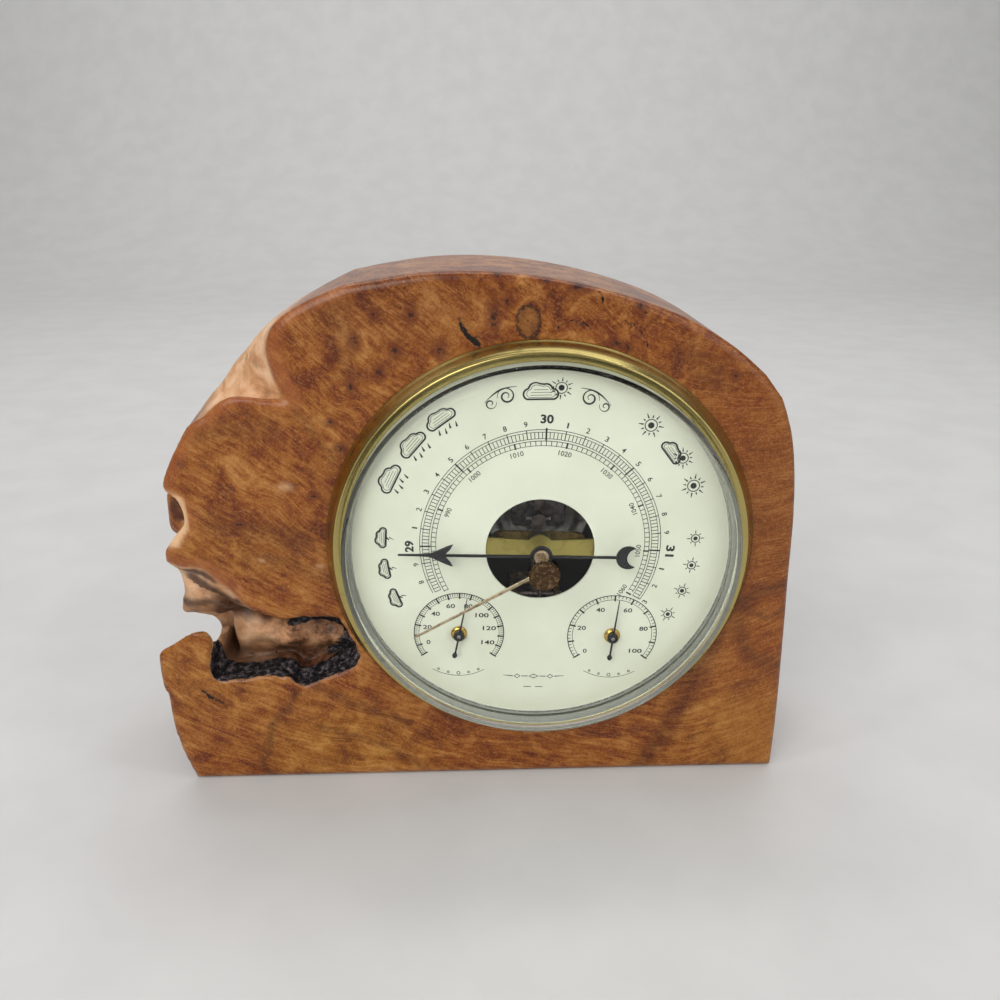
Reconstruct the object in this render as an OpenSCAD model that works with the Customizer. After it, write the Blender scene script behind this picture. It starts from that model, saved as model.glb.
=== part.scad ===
// Weather station: an aneroid barometer with a thermometer and a hygrometer in its dial,
// set in a free-standing block of burl wood with one natural edge.
// X runs to the right, Y from the front to the back, Z up.
// The origin is the middle of the base, under the middle of the overall depth.

/* [Burl block] */
// Width of the block, from the chin of the natural edge to the sawn right side
block_w = 234; // [225:1:260]
// Depth of the block from the front face to the back face
block_d = 58; // [54:1:90]
// Height of the arbor axis over the base
axis_height = 95.5; // [92:0.5:110]
// Distance from the arbor axis to the sawn right side at the base
axis_from_right = 92.7; // [86:0.1:100]
// Height of the crown of the arch over the arbor axis
crown_rise = 96; // [90:0.5:110]
// Depth over which the natural edge comes out from the front face to its full reach
bark_depth = 30; // [20:1:40]
// Depth of the bark pocket in the lower left of the front face
pocket_depth = 27; // [18:1:30]

/* [Bezel and crystal] */
// Width of the bezel's outer slope, from its crest down to the wood
bezel_slope = 3.2; // [2.5:0.1:8]
// Width of the bezel's inner band, from the crystal's wall to its crest
bezel_band = 3.2; // [2.5:0.1:4.5]
// Height of the crest in front of the dial
crest_out = 7.3; // [6:0.1:9]
// How far the crystal's upright wall stands outside the case pan
crystal_step = 2.9; // [2.6:0.1:4]
// Thickness of the crystal
crystal_t = 1.6; // [1.2:0.1:2]
// Height of the crystal's shoulder in front of the dial
shoulder_out = 12.8; // [12:0.1:15]
// Height of the crystal's crown in front of the dial
crown_out = 19.6; // [18.5:0.1:22]
// Clearance round parts that are pushed into each other
push_gap = 0.15; // [0.05:0.05:0.3]

/* [Dial] */
// Distance of the dial's face behind the front face of the wood
dial_sink = 1; // [0.5:0.1:2]
// Turn of the instrument in its bore, clockwise from the front
dial_roll = 2.2; // [0:0.1:5]
// Thickness of the dial plate
dial_t = 0.8; // [0.5:0.1:1.2]
// Radius of the round window that shows the movement
window_r = 19.3; // [15:0.1:20]
// Radius of the pressure scale's outer line
scale_r = 42.5; // [40:0.5:46]
// Height of the pressure scale's centre over the arbor axis
scale_rise = 1.8; // [0:0.1:2]
// Sideways distance of the two small dials from the arbor axis
small_dial_x = 28.2; // [24:0.1:30]
// Drop of the two small dials below the arbor axis
small_dial_drop = 34; // [32:0.1:37]
// Radius of each small dial's outer line
small_dial_r = 16.5; // [14:0.1:17]

/* [Hands] */
// Length of the pressure hand from the arbor axis to its tip
hand_len = 49.7; // [44:0.1:56]
// Height of the pressure hand in front of the dial
hand_out = 5.5; // [5:0.1:6.5]
// Angle of the pressure hand at rest, clockwise from the top of the dial
hand_angle = -90.3; // [-110:0.1:110]
// Length of the set hand from the arbor axis to its tip
set_len = 53; // [45:0.5:57]
// Angle of the set hand at rest, clockwise from the top of the dial
set_angle = -124; // [-180:1:180]
// Radius of the set hand's knurled knob
knob_r = 5.3; // [4:0.1:7]
// Thickness of the knurled knob
knob_t = 2.2; // [1.8:0.1:4]
// Number of teeth round the knob
knob_teeth = 24; // [16:1:36]
// Length of the small hands from their arbor to the tip
small_hand_len = 15.6; // [12:0.1:16]
// Height of the small hands in front of the dial
small_hand_out = 2.4; // [2.2:0.1:3]
// Angle of the thermometer hand at rest, clockwise from the top
thermo_angle = 10; // [-120:1:120]
// Angle of the hygrometer hand at rest, clockwise from the top
hygro_angle = 4.4; // [-120:0.1:120]

/* [Case] */
// Outer radius of the case pan
case_r = 65.7; // [62:0.1:66]
// Wall of the case pan
case_t = 1; // [0.8:0.1:1.5]
// Depth of the case pan behind the dial's face
case_d = 31; // [30:0.5:33]
// Clearance between the case pan and its bore in the wood
case_gap = 1.1; // [0.8:0.1:2]
// Room behind the case pan for its screw heads
floor_gap = 2.5; // [2:0.1:4]

/* [Movement] */
// Radius of the movement's base plate
plate_r = 44; // [42:0.5:50]
// Thickness of the base plate
plate_t = 1.6; // [1.2:0.1:2.5]
// Height of the spacers between the base plate and the case
spacer_h = 1.4; // [1:0.1:1.8]
// Radius of the vacuum capsule
capsule_r = 20; // [16:0.5:21]
// Height of the vacuum capsule
capsule_h = 7.5; // [6:0.1:8]
// Number of corrugations in each side of the capsule
capsule_rings = 3; // [2:1:4]
// Distance of the capsule's centre from the arbor axis, towards the spring's bend
capsule_shift = 6.4; // [5:0.1:8]
// Thickness of the C-shaped main spring
spring_t = 1.5; // [1:0.1:1.8]
// Width of the main spring
spring_w = 20; // [16:0.5:24]
// Distance of the spring's bend from the arbor axis
bend_x = 34; // [33:0.5:36]
// Distance of the rocker's axis from the arbor axis
rocker_x = 24; // [22:0.5:28]
// Depth of the rocker's axis behind the dial's face
rocker_y = 13; // [12.5:0.1:13.4]
// Length of the rocker's long arm, which pulls the chain
chain_arm = 8; // [7:0.1:8.5]
// Length of the rocker's short arm, which the link pulls
short_arm = 3; // [2.8:0.1:3.2]
// Radius at which the chain lies on the arbor's drum
chain_r = 1.2; // [1:0.05:1.5]
// Angle of the rocker's long arm at rest, leaning towards the arbor
rocker_lean = 13.65; // [8:0.05:16]
// Radius of the hand arbor
arbor_r = 0.8; // [0.6:0.05:1]
// Running clearance round each arbor
run_gap = 0.05; // [0.02:0.01:0.08]
// Turns of the hairspring
hair_turns = 4; // [3:1:5]
// Turns of each small dial's coil
coil_turns = 4; // [3:1:5]

/* [Hidden] */
$fn = 96;

// Depths behind the dial's face; a minus sign is in front of it
face_y = -dial_sink;
back_y = block_d - dial_sink;
knob_gap = 0.3;
knob_y = -(crown_out + knob_gap + knob_t);
bar_y = 2;
bar_t = 1.2;
drum_y = rocker_y - chain_arm * cos(rocker_lean);
drum_w = 1.2;
drum_wall = 0.4;
hair_y = 6.8;
hair_w = 0.8;
low_cock_y = 9;
low_cock_t = 1.2;
plate_y = case_d - case_t - spacer_h - plate_t;
capsule_boss = 0.4;
capsule_y = plate_y - capsule_boss - 0.1 - capsule_h;
leaf_y = 14.5;
lever_y = leaf_y + spring_t;
lever_t = 1.2;
pin_r = 0.7;
bend_r = (plate_y - leaf_y) / 2;
bend_y = leaf_y + bend_r;

// Place of the arbor axis in the part, at the dial's face
axis_x = block_w / 2 - axis_from_right;
axis_y = -(knob_y + back_y) / 2;

// Radii in the stack of case, crystal and bezel
crystal_r = case_r + crystal_step;
crest_r = crystal_r + bezel_band;
bezel_r = crest_r + bezel_slope;
flange_r = crystal_r + 1.6;
skirt_in = flange_r + push_gap;
skirt_out = skirt_in + 1.05;
mouth_r = skirt_out + 0.2;
skirt_y = 5;
flange_y = -3;
gasket_t = 0.6;
bore_r = case_r + case_gap;
bore_y = case_d + floor_gap;
access_r = 5;

// The small arbors and their bushes
bush_r = 3;
neck_r = 2.2;
neck_y = 2.2;
small_arbor_r = 0.7;
coil_y = 3;
coil_w = 4;
coil_in = 1.2;
// Strip thickness of the thermometer's coil and of the hygrometer's
coil_t = [0.4, 0.3];
coil_out = 7.6;

function mix(a, b, t) = a + (b - a) * t;
function curve(a, b, c, d, t) = 0.5 * (2 * b + (c - a) * t + (2 * a - 5 * b + 4 * c - d) * t * t
    + (3 * b - a - 3 * c + d) * t * t * t);
// A smooth line through the points p, with n steps between each two
function smooth(p, n) = [for (i = [0:len(p) - 2]) for (k = [0:n - 1])
    curve(p[max(i - 1, 0)], p[i], p[i + 1], p[min(i + 2, len(p) - 1)], k / n), p[len(p) - 1]];

// The instrument's own frame: its axis along Y, its top turned clockwise by the roll
module on_dial() {
    translate([axis_x, axis_y, axis_height]) rotate([0, dial_roll, 0]) children();
}
// The movement's frame: its long direction runs down the dial
module on_movement() {
    on_dial() rotate([0, 90, 0]) children();
}
module turned(points) {
    rotate([-90, 0, 0]) rotate_extrude() polygon(points);
}
module rod(r, y0, y1) {
    translate([0, y0, 0]) rotate([-90, 0, 0]) cylinder(r = r, h = y1 - y0);
}
module tube(r_out, r_in, y0, y1) {
    difference() {
        rod(r_out, y0, y1);
        rod(r_in, y0 - 1, y1 + 1);
    }
}
module plate(y0, y1) {
    translate([0, y1, 0]) rotate([90, 0, 0]) linear_extrude(y1 - y0) children();
}
module pointing(angle) {
    rotate([0, angle, 0]) children();
}

// The burl block

// Points on the sawn right side and over the arch, as [x, z] from the arbor axis
right_side = [[0, -axis_height], [0, -75], [-1, -42], [-2.2, -14], [-3, 10], [-4.7, 28],
    [-7.4, 42], [-11.7, 53.5]];
arch = [[axis_from_right - 18, 61.5], [64, 70.5], [50.4, crown_rise - 17.2],
    [36.5, crown_rise - 11.2], [18, crown_rise - 5.6], [-1, crown_rise - 1.8],
    [-20, crown_rise], [-38, crown_rise - 0.3], [-51, crown_rise - 2]];
left_x = axis_from_right - block_w;
// Points down the natural edge, above the inlet and then below it: x and z at the front face,
// then x and z at full reach. The x values count from the chin's furthest point.
upper_edge = [
    [79.3, crown_rise - 4.5, 75, crown_rise - 2.5], [69, crown_rise - 10.5, 61, crown_rise - 8],
    [59.5, crown_rise - 15.5, 51, 81], [54.3, 76, 45, 74.5], [54, 68, 39, 68],
    [56.5, 61.5, 33, 61.5], [58.8, 56, 28, 55], [51.5, 56.8, 24, 51], [42.8, 58.2, 21, 47.5],
    [37, 56.5, 18, 44], [31, 51.5, 15.5, 41], [25, 48.3, 13.5, 38], [21, 42.5, 11.5, 34],
    [16.8, 35.8, 10.5, 30], [12.6, 27.5, 10, 25], [13, 24.3, 10.5, 20], [17, 20, 14, 15],
    [18, 13, 14, 8], [14.7, 9, 11.5, 3], [9.3, 2.3, 9.5, -2]];
lower_edge = [[0.5, -39.5, 6.5, -48], [0, -46.5, 6.5, -52], [0.2, -53, 7, -56.5],
    [1.5, -57.5, 8, -60.5], [1.5, -66, 8, -67], [2.4, -76, 9, -76], [4.4, -86, 11, -86],
    [7.5, -axis_height, 14, -axis_height]];
// The inlet: the notch under the lip, round the bark pocket and back over the chin.
// Each row is x and z at the front face, then x and z at the lip's full depth.
inlet = [
    [-132, -1.2, -133.5, -11], [-126.7, -4.2, -133.4, -16], [-119, -4.2, -134, -22],
    [-113.5, -9.5, -136, -30.5], [-109.6, -12.4, -130, -31], [-106.5, -17, -122, -32.5],
    [-103, -21.5, -113, -29], [-96, -25, -100, -26.5], [-92.3, -26.5, -92.5, -27.5],
    [-86.7, -25, -86.7, -26.5], [-79.5, -24.7, -80.5, -26.7], [-73.5, -26, -75.5, -29],
    [-70.8, -29.5, -73.5, -32], [-68.7, -34.5, -71.5, -35.5], [-67, -38.8, -70, -39.3],
    [-66.5, -42.7, -69.8, -42], [-68.4, -46.5, -72, -45], [-74.1, -49.3, -76.5, -47.3],
    [-81.8, -52.2, -83, -49.5], [-88.7, -54.5, -89, -51.5], [-92.8, -50.6, -93, -48.6],
    [-100.1, -49.6, -100, -47.6], [-111.3, -51, -110, -48.8], [-120.5, -51.3, -117.5, -48.5],
    [-121.7, -44, -119, -43.5], [-119.6, -35.5, -120, -39.5], [-121.3, -29.4, -124, -40.5],
    [-126.1, -29.9, -128, -41.5], [-130.7, -32.3, -131, -42.5], [-135.5, -35.1, -133.5, -43.5],
    [-139.5, -37.5, -136, -44.5]];
// Depth at which the lip reaches its full drop, and depth at which the inlet has closed
lip_depth = 15;
closed_depth = pocket_depth + 7;
lip_points = 4;
gap_drop = 2.3;

function at_depth(rows, t) = [for (p = rows) [left_x + mix(p[0], p[2], t), mix(p[1], p[3], t)]];
function inlet_at(d) = [for (i = [0:len(inlet) - 1]) let (
    p = inlet[i],
    front = [p[0], p[1]],
    lip = [p[2], p[3]],
    deep = lip - [0, gap_drop],
    last = len(inlet) - 1 - lip_points,
    shut = i < lip_points ? deep : [left_x + 7.2, mix(-34.5, -46.6, (i - lip_points) / last)])
    d < lip_depth ? mix(front, lip, d / lip_depth)
    : d < pocket_depth ? mix(lip, deep, (d - lip_depth) / (pocket_depth - lip_depth))
    : mix(deep, shut, min(1, (d - pocket_depth) / (closed_depth - pocket_depth)))];
// The block's outline at depth d behind its front face
function outline(d) = let (t = sin(90 * min(1, d / bark_depth))) concat(
    smooth([for (p = right_side) [axis_from_right + p[0], p[1]]], 2),
    smooth(arch, 2),
    smooth(at_depth(upper_edge, t), 2),
    inlet_at(d),
    smooth(at_depth(lower_edge, t), 2));

function turn(a, b, c) = (b[0] - a[0]) * (c[1] - a[1]) - (b[1] - a[1]) * (c[0] - a[0]);
function within(q, a, b, c) = turn(a, b, q) >= 0 && turn(b, c, q) >= 0 && turn(c, a, q) >= 0;
// Whether the corner i of what is left of an outline can be cut off it as a triangle
function is_ear(p, left, i) = let (
    n = len(left),
    before = (i + n - 1) % n,
    after = (i + 1) % n,
    a = p[left[before]],
    b = p[left[i]],
    c = p[left[after]])
    turn(a, b, c) > 0.000001
    && len([for (k = [0:n - 1]) if (k != i && k != before && k != after
        && within(p[left[k]], a, b, c)) k]) == 0;
function first_ear(p, left, i) = i >= len(left) || is_ear(p, left, i) ? i : first_ear(p, left, i + 1);
// An outline's face in triangles, because a face with inlets isn't a fan from one corner
function cap(p, left, done = []) = len(left) == 3 ? concat(done, [left]) : let (
    n = len(left),
    i = first_ear(p, left, 0) % n)
    cap(p, [for (k = [0:n - 1]) if (k != i) left[k]],
        concat(done, [[left[(i + n - 1) % n], left[i], left[(i + 1) % n]]]));

module lofted_block() {
    depths = [0, 5, 10, lip_depth, (lip_depth + pocket_depth) / 2, pocket_depth, closed_depth,
        block_d];
    n = len(outline(0));
    m = len(depths);
    points = [for (d = depths) for (p = outline(d)) [p[0], face_y + d, p[1]]];
    faces = concat(
        [for (t = cap(outline(depths[0]), [for (i = [0:n - 1]) i])) [t[2], t[1], t[0]]],
        [for (t = cap(outline(depths[m - 1]), [for (i = [0:n - 1]) i])) t + (m - 1) * n * [1, 1, 1]],
        [for (k = [0:m - 2]) for (i = [0:n - 1]) each [
            [k * n + i, k * n + (i + 1) % n, (k + 1) * n + (i + 1) % n],
            [k * n + i, (k + 1) * n + (i + 1) % n, (k + 1) * n + i]]]);
    polyhedron(points, faces);
}
module burl_block() {
    color("peru") difference() {
        translate([axis_x, axis_y, axis_height]) lofted_block();
        on_dial() {
            rod(mouth_r, face_y - 1, skirt_y + 0.6);
            rod(bore_r, face_y - 1, bore_y);
        }
        on_movement() translate([-capsule_shift, 0, 0]) rod(access_r, bore_y - 1, back_y + 1);
    }
}

// Bezel, crystal and case

module bezel_ring() {
    color("goldenrod") on_dial() turned([
        [crystal_r + push_gap, -(crest_out - 0.6)], [crest_r - 0.7, -crest_out],
        [crest_r, -crest_out + 0.1], [crest_r + 0.5, -crest_out + 0.6],
        [crest_r + 1.7, -crest_out + 2.3], [bezel_r - 0.6, face_y - 2.4],
        [bezel_r, face_y - 0.8], [bezel_r, face_y], [skirt_out, face_y],
        [skirt_out, skirt_y], [skirt_in, skirt_y], [skirt_in, flange_y],
        [crystal_r + push_gap, flange_y]]);
}
dome_r = (crystal_r * crystal_r + pow(crown_out - shoulder_out, 2)) / 2 / (crown_out - shoulder_out);
function dome(r, inset) = -crown_out + dome_r - sqrt(pow(dome_r - inset, 2) - r * r);
module crystal() {
    steps = 16;
    inner = crystal_r - crystal_t;
    color([0.85, 0.9, 0.9, 0.3]) on_dial() difference() {
        turned(concat(
            [for (i = [0:steps]) let (r = (crystal_r - 0.6) * i / steps) [r, dome(r, 0)]],
            [[crystal_r, -shoulder_out + 0.5], [crystal_r, flange_y], [flange_r, flange_y],
                [flange_r, -gasket_t], [inner, -gasket_t]],
            [for (i = [steps:-1:0]) let (r = inner * i / steps) [r, dome(r, crystal_t)]]));
        rod(spindle_r + ferrule_t, -crown_out - 1, -gasket_t);
    }
}
module crystal_gasket() {
    color("dimgray") on_dial() tube(flange_r - 0.1, crystal_r - crystal_t, -gasket_t, 0);
}
module dial_plate() {
    color("ivory") on_dial() difference() {
        rod(flange_r, 0, dial_t);
        rod(window_r, -1, dial_t + 1);
        for (side = [-1, 1]) small_dial_at(side) rod(neck_r, -1, dial_t + 1);
    }
}
module small_dial_at(side) {
    translate([side * small_dial_x, 0, -small_dial_drop]) children();
}
module case_pan() {
    rim_in = case_r - case_t;
    color("darkslategray") difference() {
        on_dial() turned([[rim_in, dial_t], [flange_r, dial_t], [flange_r, dial_t + 1],
            [case_r, dial_t + 1], [case_r, case_d], [0, case_d], [0, case_d - case_t],
            [rim_in, case_d - case_t]]);
        on_movement() translate([-capsule_shift, 0, 0]) rod(access_r, case_d - 3, case_d + 1);
        on_dial() plate_screws_at() rod(plate_screw_r, case_d - 3, case_d + 1);
    }
}
// Three bowed leaf springs hold the case in its bore
clip_arc = 16;
clip_t = 0.4;
clip_start = case_d * 0.26;
clip_top = case_d * 0.55;
module case_clips() {
    end = 2 * clip_top - clip_start;
    color("silver") on_dial() for (a = [30, 150, 270]) rotate([0, a, 0])
        rotate([-90, 0, 0]) rotate_extrude(angle = clip_arc) polygon([
            [case_r, clip_start], [case_r + clip_t, clip_start], [bore_r - 0.1, clip_top - 1],
            [bore_r - 0.1, clip_top + 1], [case_r + clip_t, end], [case_r, end],
            [bore_r - 0.1 - clip_t, clip_top + 1], [bore_r - 0.1 - clip_t, clip_top - 1]]);
}

// Base plate, capsule and main spring

plate_screw_r = 1.5;
plate_screw_at = 38;
module plate_screws_at() {
    for (a = [30, 150, 270]) rotate([0, a, 0]) translate([plate_screw_at, 0, 0]) children();
}
module movement_plate() {
    color("darkgoldenrod") difference() {
        on_dial() rod(plate_r, plate_y, plate_y + plate_t);
        on_dial() plate_screws_at() rod(plate_screw_r, plate_y - 1, plate_y + plate_t + 1);
        on_movement() translate([-capsule_shift, 0, 0])
            rod(adjuster_r + run_gap, plate_y - 1, plate_y + plate_t + 1);
        on_movement() spring_screws_at() rod(small_screw_r, plate_y - 1, plate_y + plate_t + 1);
        on_movement() bracket_screws_at() rod(small_screw_r, plate_y - 1, plate_y + plate_t + 1);
    }
}
module plate_spacers() {
    color("goldenrod") on_dial() plate_screws_at()
        tube(2 * plate_screw_r, plate_screw_r, plate_y + plate_t, case_d - case_t);
}
module slotted_screw(r, head_r, head_h, y_seat, y_tip) {
    out = sign(y_seat - y_tip);
    y_head = y_seat + out * head_h;
    difference() {
        union() {
            rod(head_r, min(y_seat, y_head), max(y_seat, y_head));
            rod(r, min(y_seat, y_tip), max(y_seat, y_tip));
        }
        translate([-head_r, y_head - (out > 0 ? head_h * 0.5 : 0), -head_r * 0.12])
            cube([2 * head_r, head_h * 0.5, head_r * 0.24]);
    }
}
module plate_screws() {
    color("silver") on_dial() plate_screws_at()
        slotted_screw(plate_screw_r, 2 * plate_screw_r, 1.2, case_d, plate_y);
}
// Corrugated metal capsule, with a boss below that stands on the adjusting screw
module capsule() {
    steps = 24;
    rim = 1;
    depth = 0.5;
    wave = [for (i = [0:steps]) let (r = 3 + (capsule_r - rim - 3) * i / steps)
        [r, depth * (1 - cos(360 * capsule_rings * i / steps)) / 2]];
    y0 = capsule_y + 0.8;
    y1 = capsule_y + capsule_h - 0.8;
    color("rosybrown") on_movement() translate([-capsule_shift, 0, 0]) turned(concat(
        [[0, capsule_y], [2.4, capsule_y]],
        [for (p = wave) [p[0], y0 + p[1]]],
        [[capsule_r, (y0 + y1) / 2 - 0.4], [capsule_r, (y0 + y1) / 2 + 0.4]],
        [for (i = [steps:-1:0]) [wave[i][0], y1 - wave[i][1]]],
        [[3, capsule_y + capsule_h], [0, capsule_y + capsule_h]]));
}
adjuster_r = 2.5;
module adjusting_screw() {
    tip_y = capsule_y + capsule_h;
    color("goldenrod") on_movement() translate([-capsule_shift, 0, 0])
        slotted_screw(adjuster_r, 3.6, 1.6, case_d + 0.3, tip_y);
}
post_r = 1.6;
head_y = 11.3;
module capsule_post() {
    color("goldenrod") on_movement() translate([-capsule_shift, 0, 0]) difference() {
        union() {
            rod(post_r, head_y, capsule_y);
            rod(2.6, head_y, head_y + 1.4);
        }
        translate([0, leaf_y - pin_r, -3]) cylinder(r = pin_r, h = 6);
    }
}
// The pin through the post rides on the two prongs of the spring
module knife_pin() {
    color("gray") on_movement() translate([-capsule_shift, leaf_y - pin_r, -4.5])
        cylinder(r = pin_r, h = 9);
}
slot_w = 3.7;
fork_x = -3;
// The leaf is full width to here and goes on as two prongs
leaf_end = 14;
prong_r = 3;
foot_l = 6.6;
module main_spring() {
    color("saddlebrown") on_movement() difference() {
        union() {
            plate(leaf_y, leaf_y + spring_t) difference() {
                union() {
                    translate([-bend_x, -spring_w / 2]) square([bend_x - leaf_end, spring_w]);
                    for (side = [-1, 1]) hull()
                        for (x = [-leaf_end - 2, fork_x - prong_r])
                            for (z = [slot_w / 2 + prong_r, spring_w * 0.35])
                                translate([x, side * z]) circle(r = prong_r, $fn = 32);
                }
                translate([-leaf_end - 1, -slot_w / 2]) square([leaf_end + 6, slot_w]);
            }
            translate([-bend_x, bend_y, -spring_w / 2]) difference() {
                cylinder(r = bend_r, h = spring_w);
                translate([0, 0, -1]) cylinder(r = bend_r - spring_t, h = spring_w + 2);
                translate([0, -bend_r - 1, -1]) cube([bend_r + 1, 2 * bend_r + 2, spring_w + 2]);
            }
            translate([-bend_x, plate_y - spring_t, -spring_w / 2])
                cube([foot_l, spring_t, spring_w]);
        }
        spring_screws_at() rod(small_screw_r, plate_y - 5, plate_y + 1);
    }
}
small_screw_r = 1;
module spring_screws_at() {
    for (z = [-spring_w / 4, spring_w / 4]) translate([-bend_x + foot_l / 2, 0, z]) children();
}
module spring_screws() {
    color("silver") on_movement() spring_screws_at()
        slotted_screw(small_screw_r, 2, 1, plate_y - spring_t, plate_y + plate_t);
}
pad_l = 10;
pad_w = 12;
eye_r = 4;
lever_w = 3;
// The lever is fixed under the spring's leaf; the post stands through its eye
module main_lever() {
    tip_x = rocker_x + short_arm + 1.2;
    color("silver") on_movement() {
        difference() {
            plate(lever_y, lever_y + lever_t) difference() {
                union() {
                    translate([-leaf_end + 2 - pad_l, -pad_w / 2]) square([pad_l, pad_w]);
                    hull() {
                        translate([-leaf_end, -eye_r]) square([2, 2 * eye_r]);
                        translate([-capsule_shift, 0]) circle(r = eye_r);
                    }
                    translate([-capsule_shift, -lever_w / 2]) square([tip_x + capsule_shift, lever_w]);
                }
                translate([-capsule_shift, 0]) circle(r = post_r + 0.8);
            }
            translate([tip_x - 3, lever_y - 1, link_z]) cube([4, lever_t + 2, 3]);
        }
    }
}
link_z = 0.3;
link_t = 0.5;
// A flat link stands on the lever's tip; the short arm's pin lies in its slot
module lever_link() {
    pin_y = rocker_y - short_arm * sin(rocker_lean);
    color("silver") on_movement() translate([0, 0, link_z]) linear_extrude(link_t) difference() {
        translate([rocker_x + short_arm - 1.6, pin_y - 1.2])
            square([3.2, lever_y + lever_t - pin_y + 1.2]);
        hull() for (dx = [-0.35, 0.25]) translate([rocker_x + short_arm * cos(rocker_lean) + dx, pin_y])
            circle(r = 0.5);
    }
}

// Rocker and chain

ear_z = 8;
ear_t = 1.2;
pivot_r = 0.5;
module rocker_bracket() {
    strap_t = 1.2;
    color("goldenrod") on_movement() difference() {
        union() {
            translate([rocker_x - 2.5, plate_y - strap_t, -ear_z - ear_t])
                cube([5, strap_t, 2 * (ear_z + ear_t)]);
            for (z = [-ear_z - ear_t, ear_z]) translate([rocker_x - 2.5, rocker_y - 2.5, z])
                cube([5, plate_y - rocker_y + 2.5 - strap_t / 2, ear_t]);
        }
        translate([rocker_x, rocker_y, -ear_z - 5]) cylinder(r = pivot_screw_r, h = 2 * ear_z + 10);
        bracket_screws_at() rod(small_screw_r, plate_y - 4, plate_y + 1);
    }
}
module bracket_screws_at() {
    for (z = [-4.5, 4.5]) translate([rocker_x, 0, z]) children();
}
module bracket_screws() {
    color("silver") on_movement() bracket_screws_at()
        slotted_screw(small_screw_r, 1.8, 0.9, plate_y - 1.2, plate_y + plate_t);
}
pivot_screw_r = 1.2;
module pivot_screws() {
    color("silver") on_movement() for (side = [-1, 1]) difference() {
        translate([rocker_x, rocker_y, side > 0 ? ear_z : -ear_z - 2.2])
            cylinder(r = pivot_screw_r, h = 2.2);
        translate([rocker_x, rocker_y, side > 0 ? ear_z - 1 : -ear_z - 1])
            cylinder(r = pivot_r + run_gap, h = 2);
        translate([rocker_x - 2, rocker_y - 0.2, side > 0 ? ear_z + 1.7 : -ear_z - 2.7])
            cube([4, 0.4, 1]);
    }
}
module rocker() {
    shaft_r = 1;
    arm_w = 1;
    color("silver") on_movement() translate([rocker_x, rocker_y, 0]) rotate([0, 0, -rocker_lean]) {
        translate([0, 0, -ear_z + 0.3]) cylinder(r = shaft_r, h = 2 * ear_z - 0.6);
        translate([0, 0, -ear_z - 0.8]) cylinder(r = pivot_r, h = 2 * ear_z + 1.6);
        translate([-0.6, -chain_arm - 0.5, chain_r - arm_w / 2]) cube([1.2, chain_arm + 0.5, arm_w]);
        translate([0, -0.5, -arm_w - 0.5]) cube([short_arm + 0.6, 1, arm_w]);
        translate([short_arm, 0, -arm_w - 0.5]) cylinder(r = 0.3, h = link_z + link_t + arm_w + 0.8);
    }
}
chain_t = 0.5;
module chain() {
    run = rocker_x - chain_arm * sin(rocker_lean) - 0.65;
    color("dimgray") on_movement() {
        translate([0, drum_y - chain_t / 2, chain_r - chain_t / 2]) cube([run, chain_t, chain_t]);
        difference() {
            tube(chain_r + chain_t / 2, chain_r - chain_t / 2, drum_y - chain_t / 2, drum_y + chain_t / 2);
            translate([0.01, drum_y - 1, -3]) cube([3, 2, 6]);
        }
    }
}

// Hand arbor and its cocks

arbor_front = -hand_out - 0.7;
module hand_arbor() {
    drum = chain_r - chain_t / 2;
    half = drum_w / 2;
    color("silver") on_dial() {
        rod(arbor_r, arbor_front, low_cock_y);
        rod(pivot_r, low_cock_y, low_cock_y + low_cock_t);
        rod(drum, drum_y - half, drum_y + half);
        for (y = [drum_y - half - drum_wall, drum_y + half]) rod(2.2, y, y + drum_wall);
        rod(1.6, hair_y, hair_y + hair_w);
    }
}
function on_spiral(r0, r1, turns, f) = mix(r0, r1, f) * [cos(360 * turns * f), sin(360 * turns * f)];
// The outline of a strip of thickness t that winds from radius r0 out to r1
function spiral(r0, r1, turns, steps, t) = concat(
    [for (i = [0:steps]) on_spiral(r0, r1, turns, i / steps)],
    [for (i = [steps:-1:0]) on_spiral(r0 + t, r1 + t, turns, i / steps)]);
hair_in = 1.6;
hair_out = 4.4;
hair_t = 0.2;
module hairspring() {
    color("steelblue") on_dial() plate(hair_y, hair_y + hair_w)
        polygon(spiral(hair_in, hair_out, hair_turns, 32 * hair_turns, hair_t));
}
module hairspring_stud() {
    color("goldenrod") on_dial() translate([hair_out + hair_t + 0.5, 0, 0]) rod(0.5, hair_y, low_cock_y);
}
cock_post_x = 14;
cock_post_r = 1.5;
pillar_x = 26;
pillar_r = 2.4;
bar_half = 4;
waist_half = 2.9;
bar_hub_r = 4.8;
bar_screw_in = 5;
// The bow-tie bar behind the window, which carries the front of the arbor
module cock_bar() {
    end_x = pillar_x + pillar_r * 1.25;
    top = [[-end_x, bar_half], [-window_r, bar_half * 0.9], [-bar_half, waist_half],
        [bar_half, waist_half], [window_r, bar_half * 0.9], [end_x, bar_half]];
    color("darkkhaki") on_dial() difference() {
        union() {
            rod(bar_hub_r, bar_y, bar_y + bar_t);
            plate(bar_y, bar_y + bar_t) polygon(concat(top, [for (p = top) -p]));
        }
        rod(arbor_r + run_gap, 0, bar_y + bar_t + 1);
        bar_screws_at() rod(small_screw_r, 0, bar_y + bar_t + 1);
    }
}
module bar_screws_at() {
    for (side = [-1, 1]) translate([side * pillar_x, 0, 0]) children();
}
module bar_pillars() {
    color("goldenrod") on_dial() bar_screws_at() tube(pillar_r, small_screw_r, bar_y + bar_t, plate_y);
}
module bar_screws() {
    color("silver") on_dial() bar_screws_at()
        slotted_screw(small_screw_r, 2 * small_screw_r, 0.8, bar_y, bar_y + bar_t + bar_screw_in);
}
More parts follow.
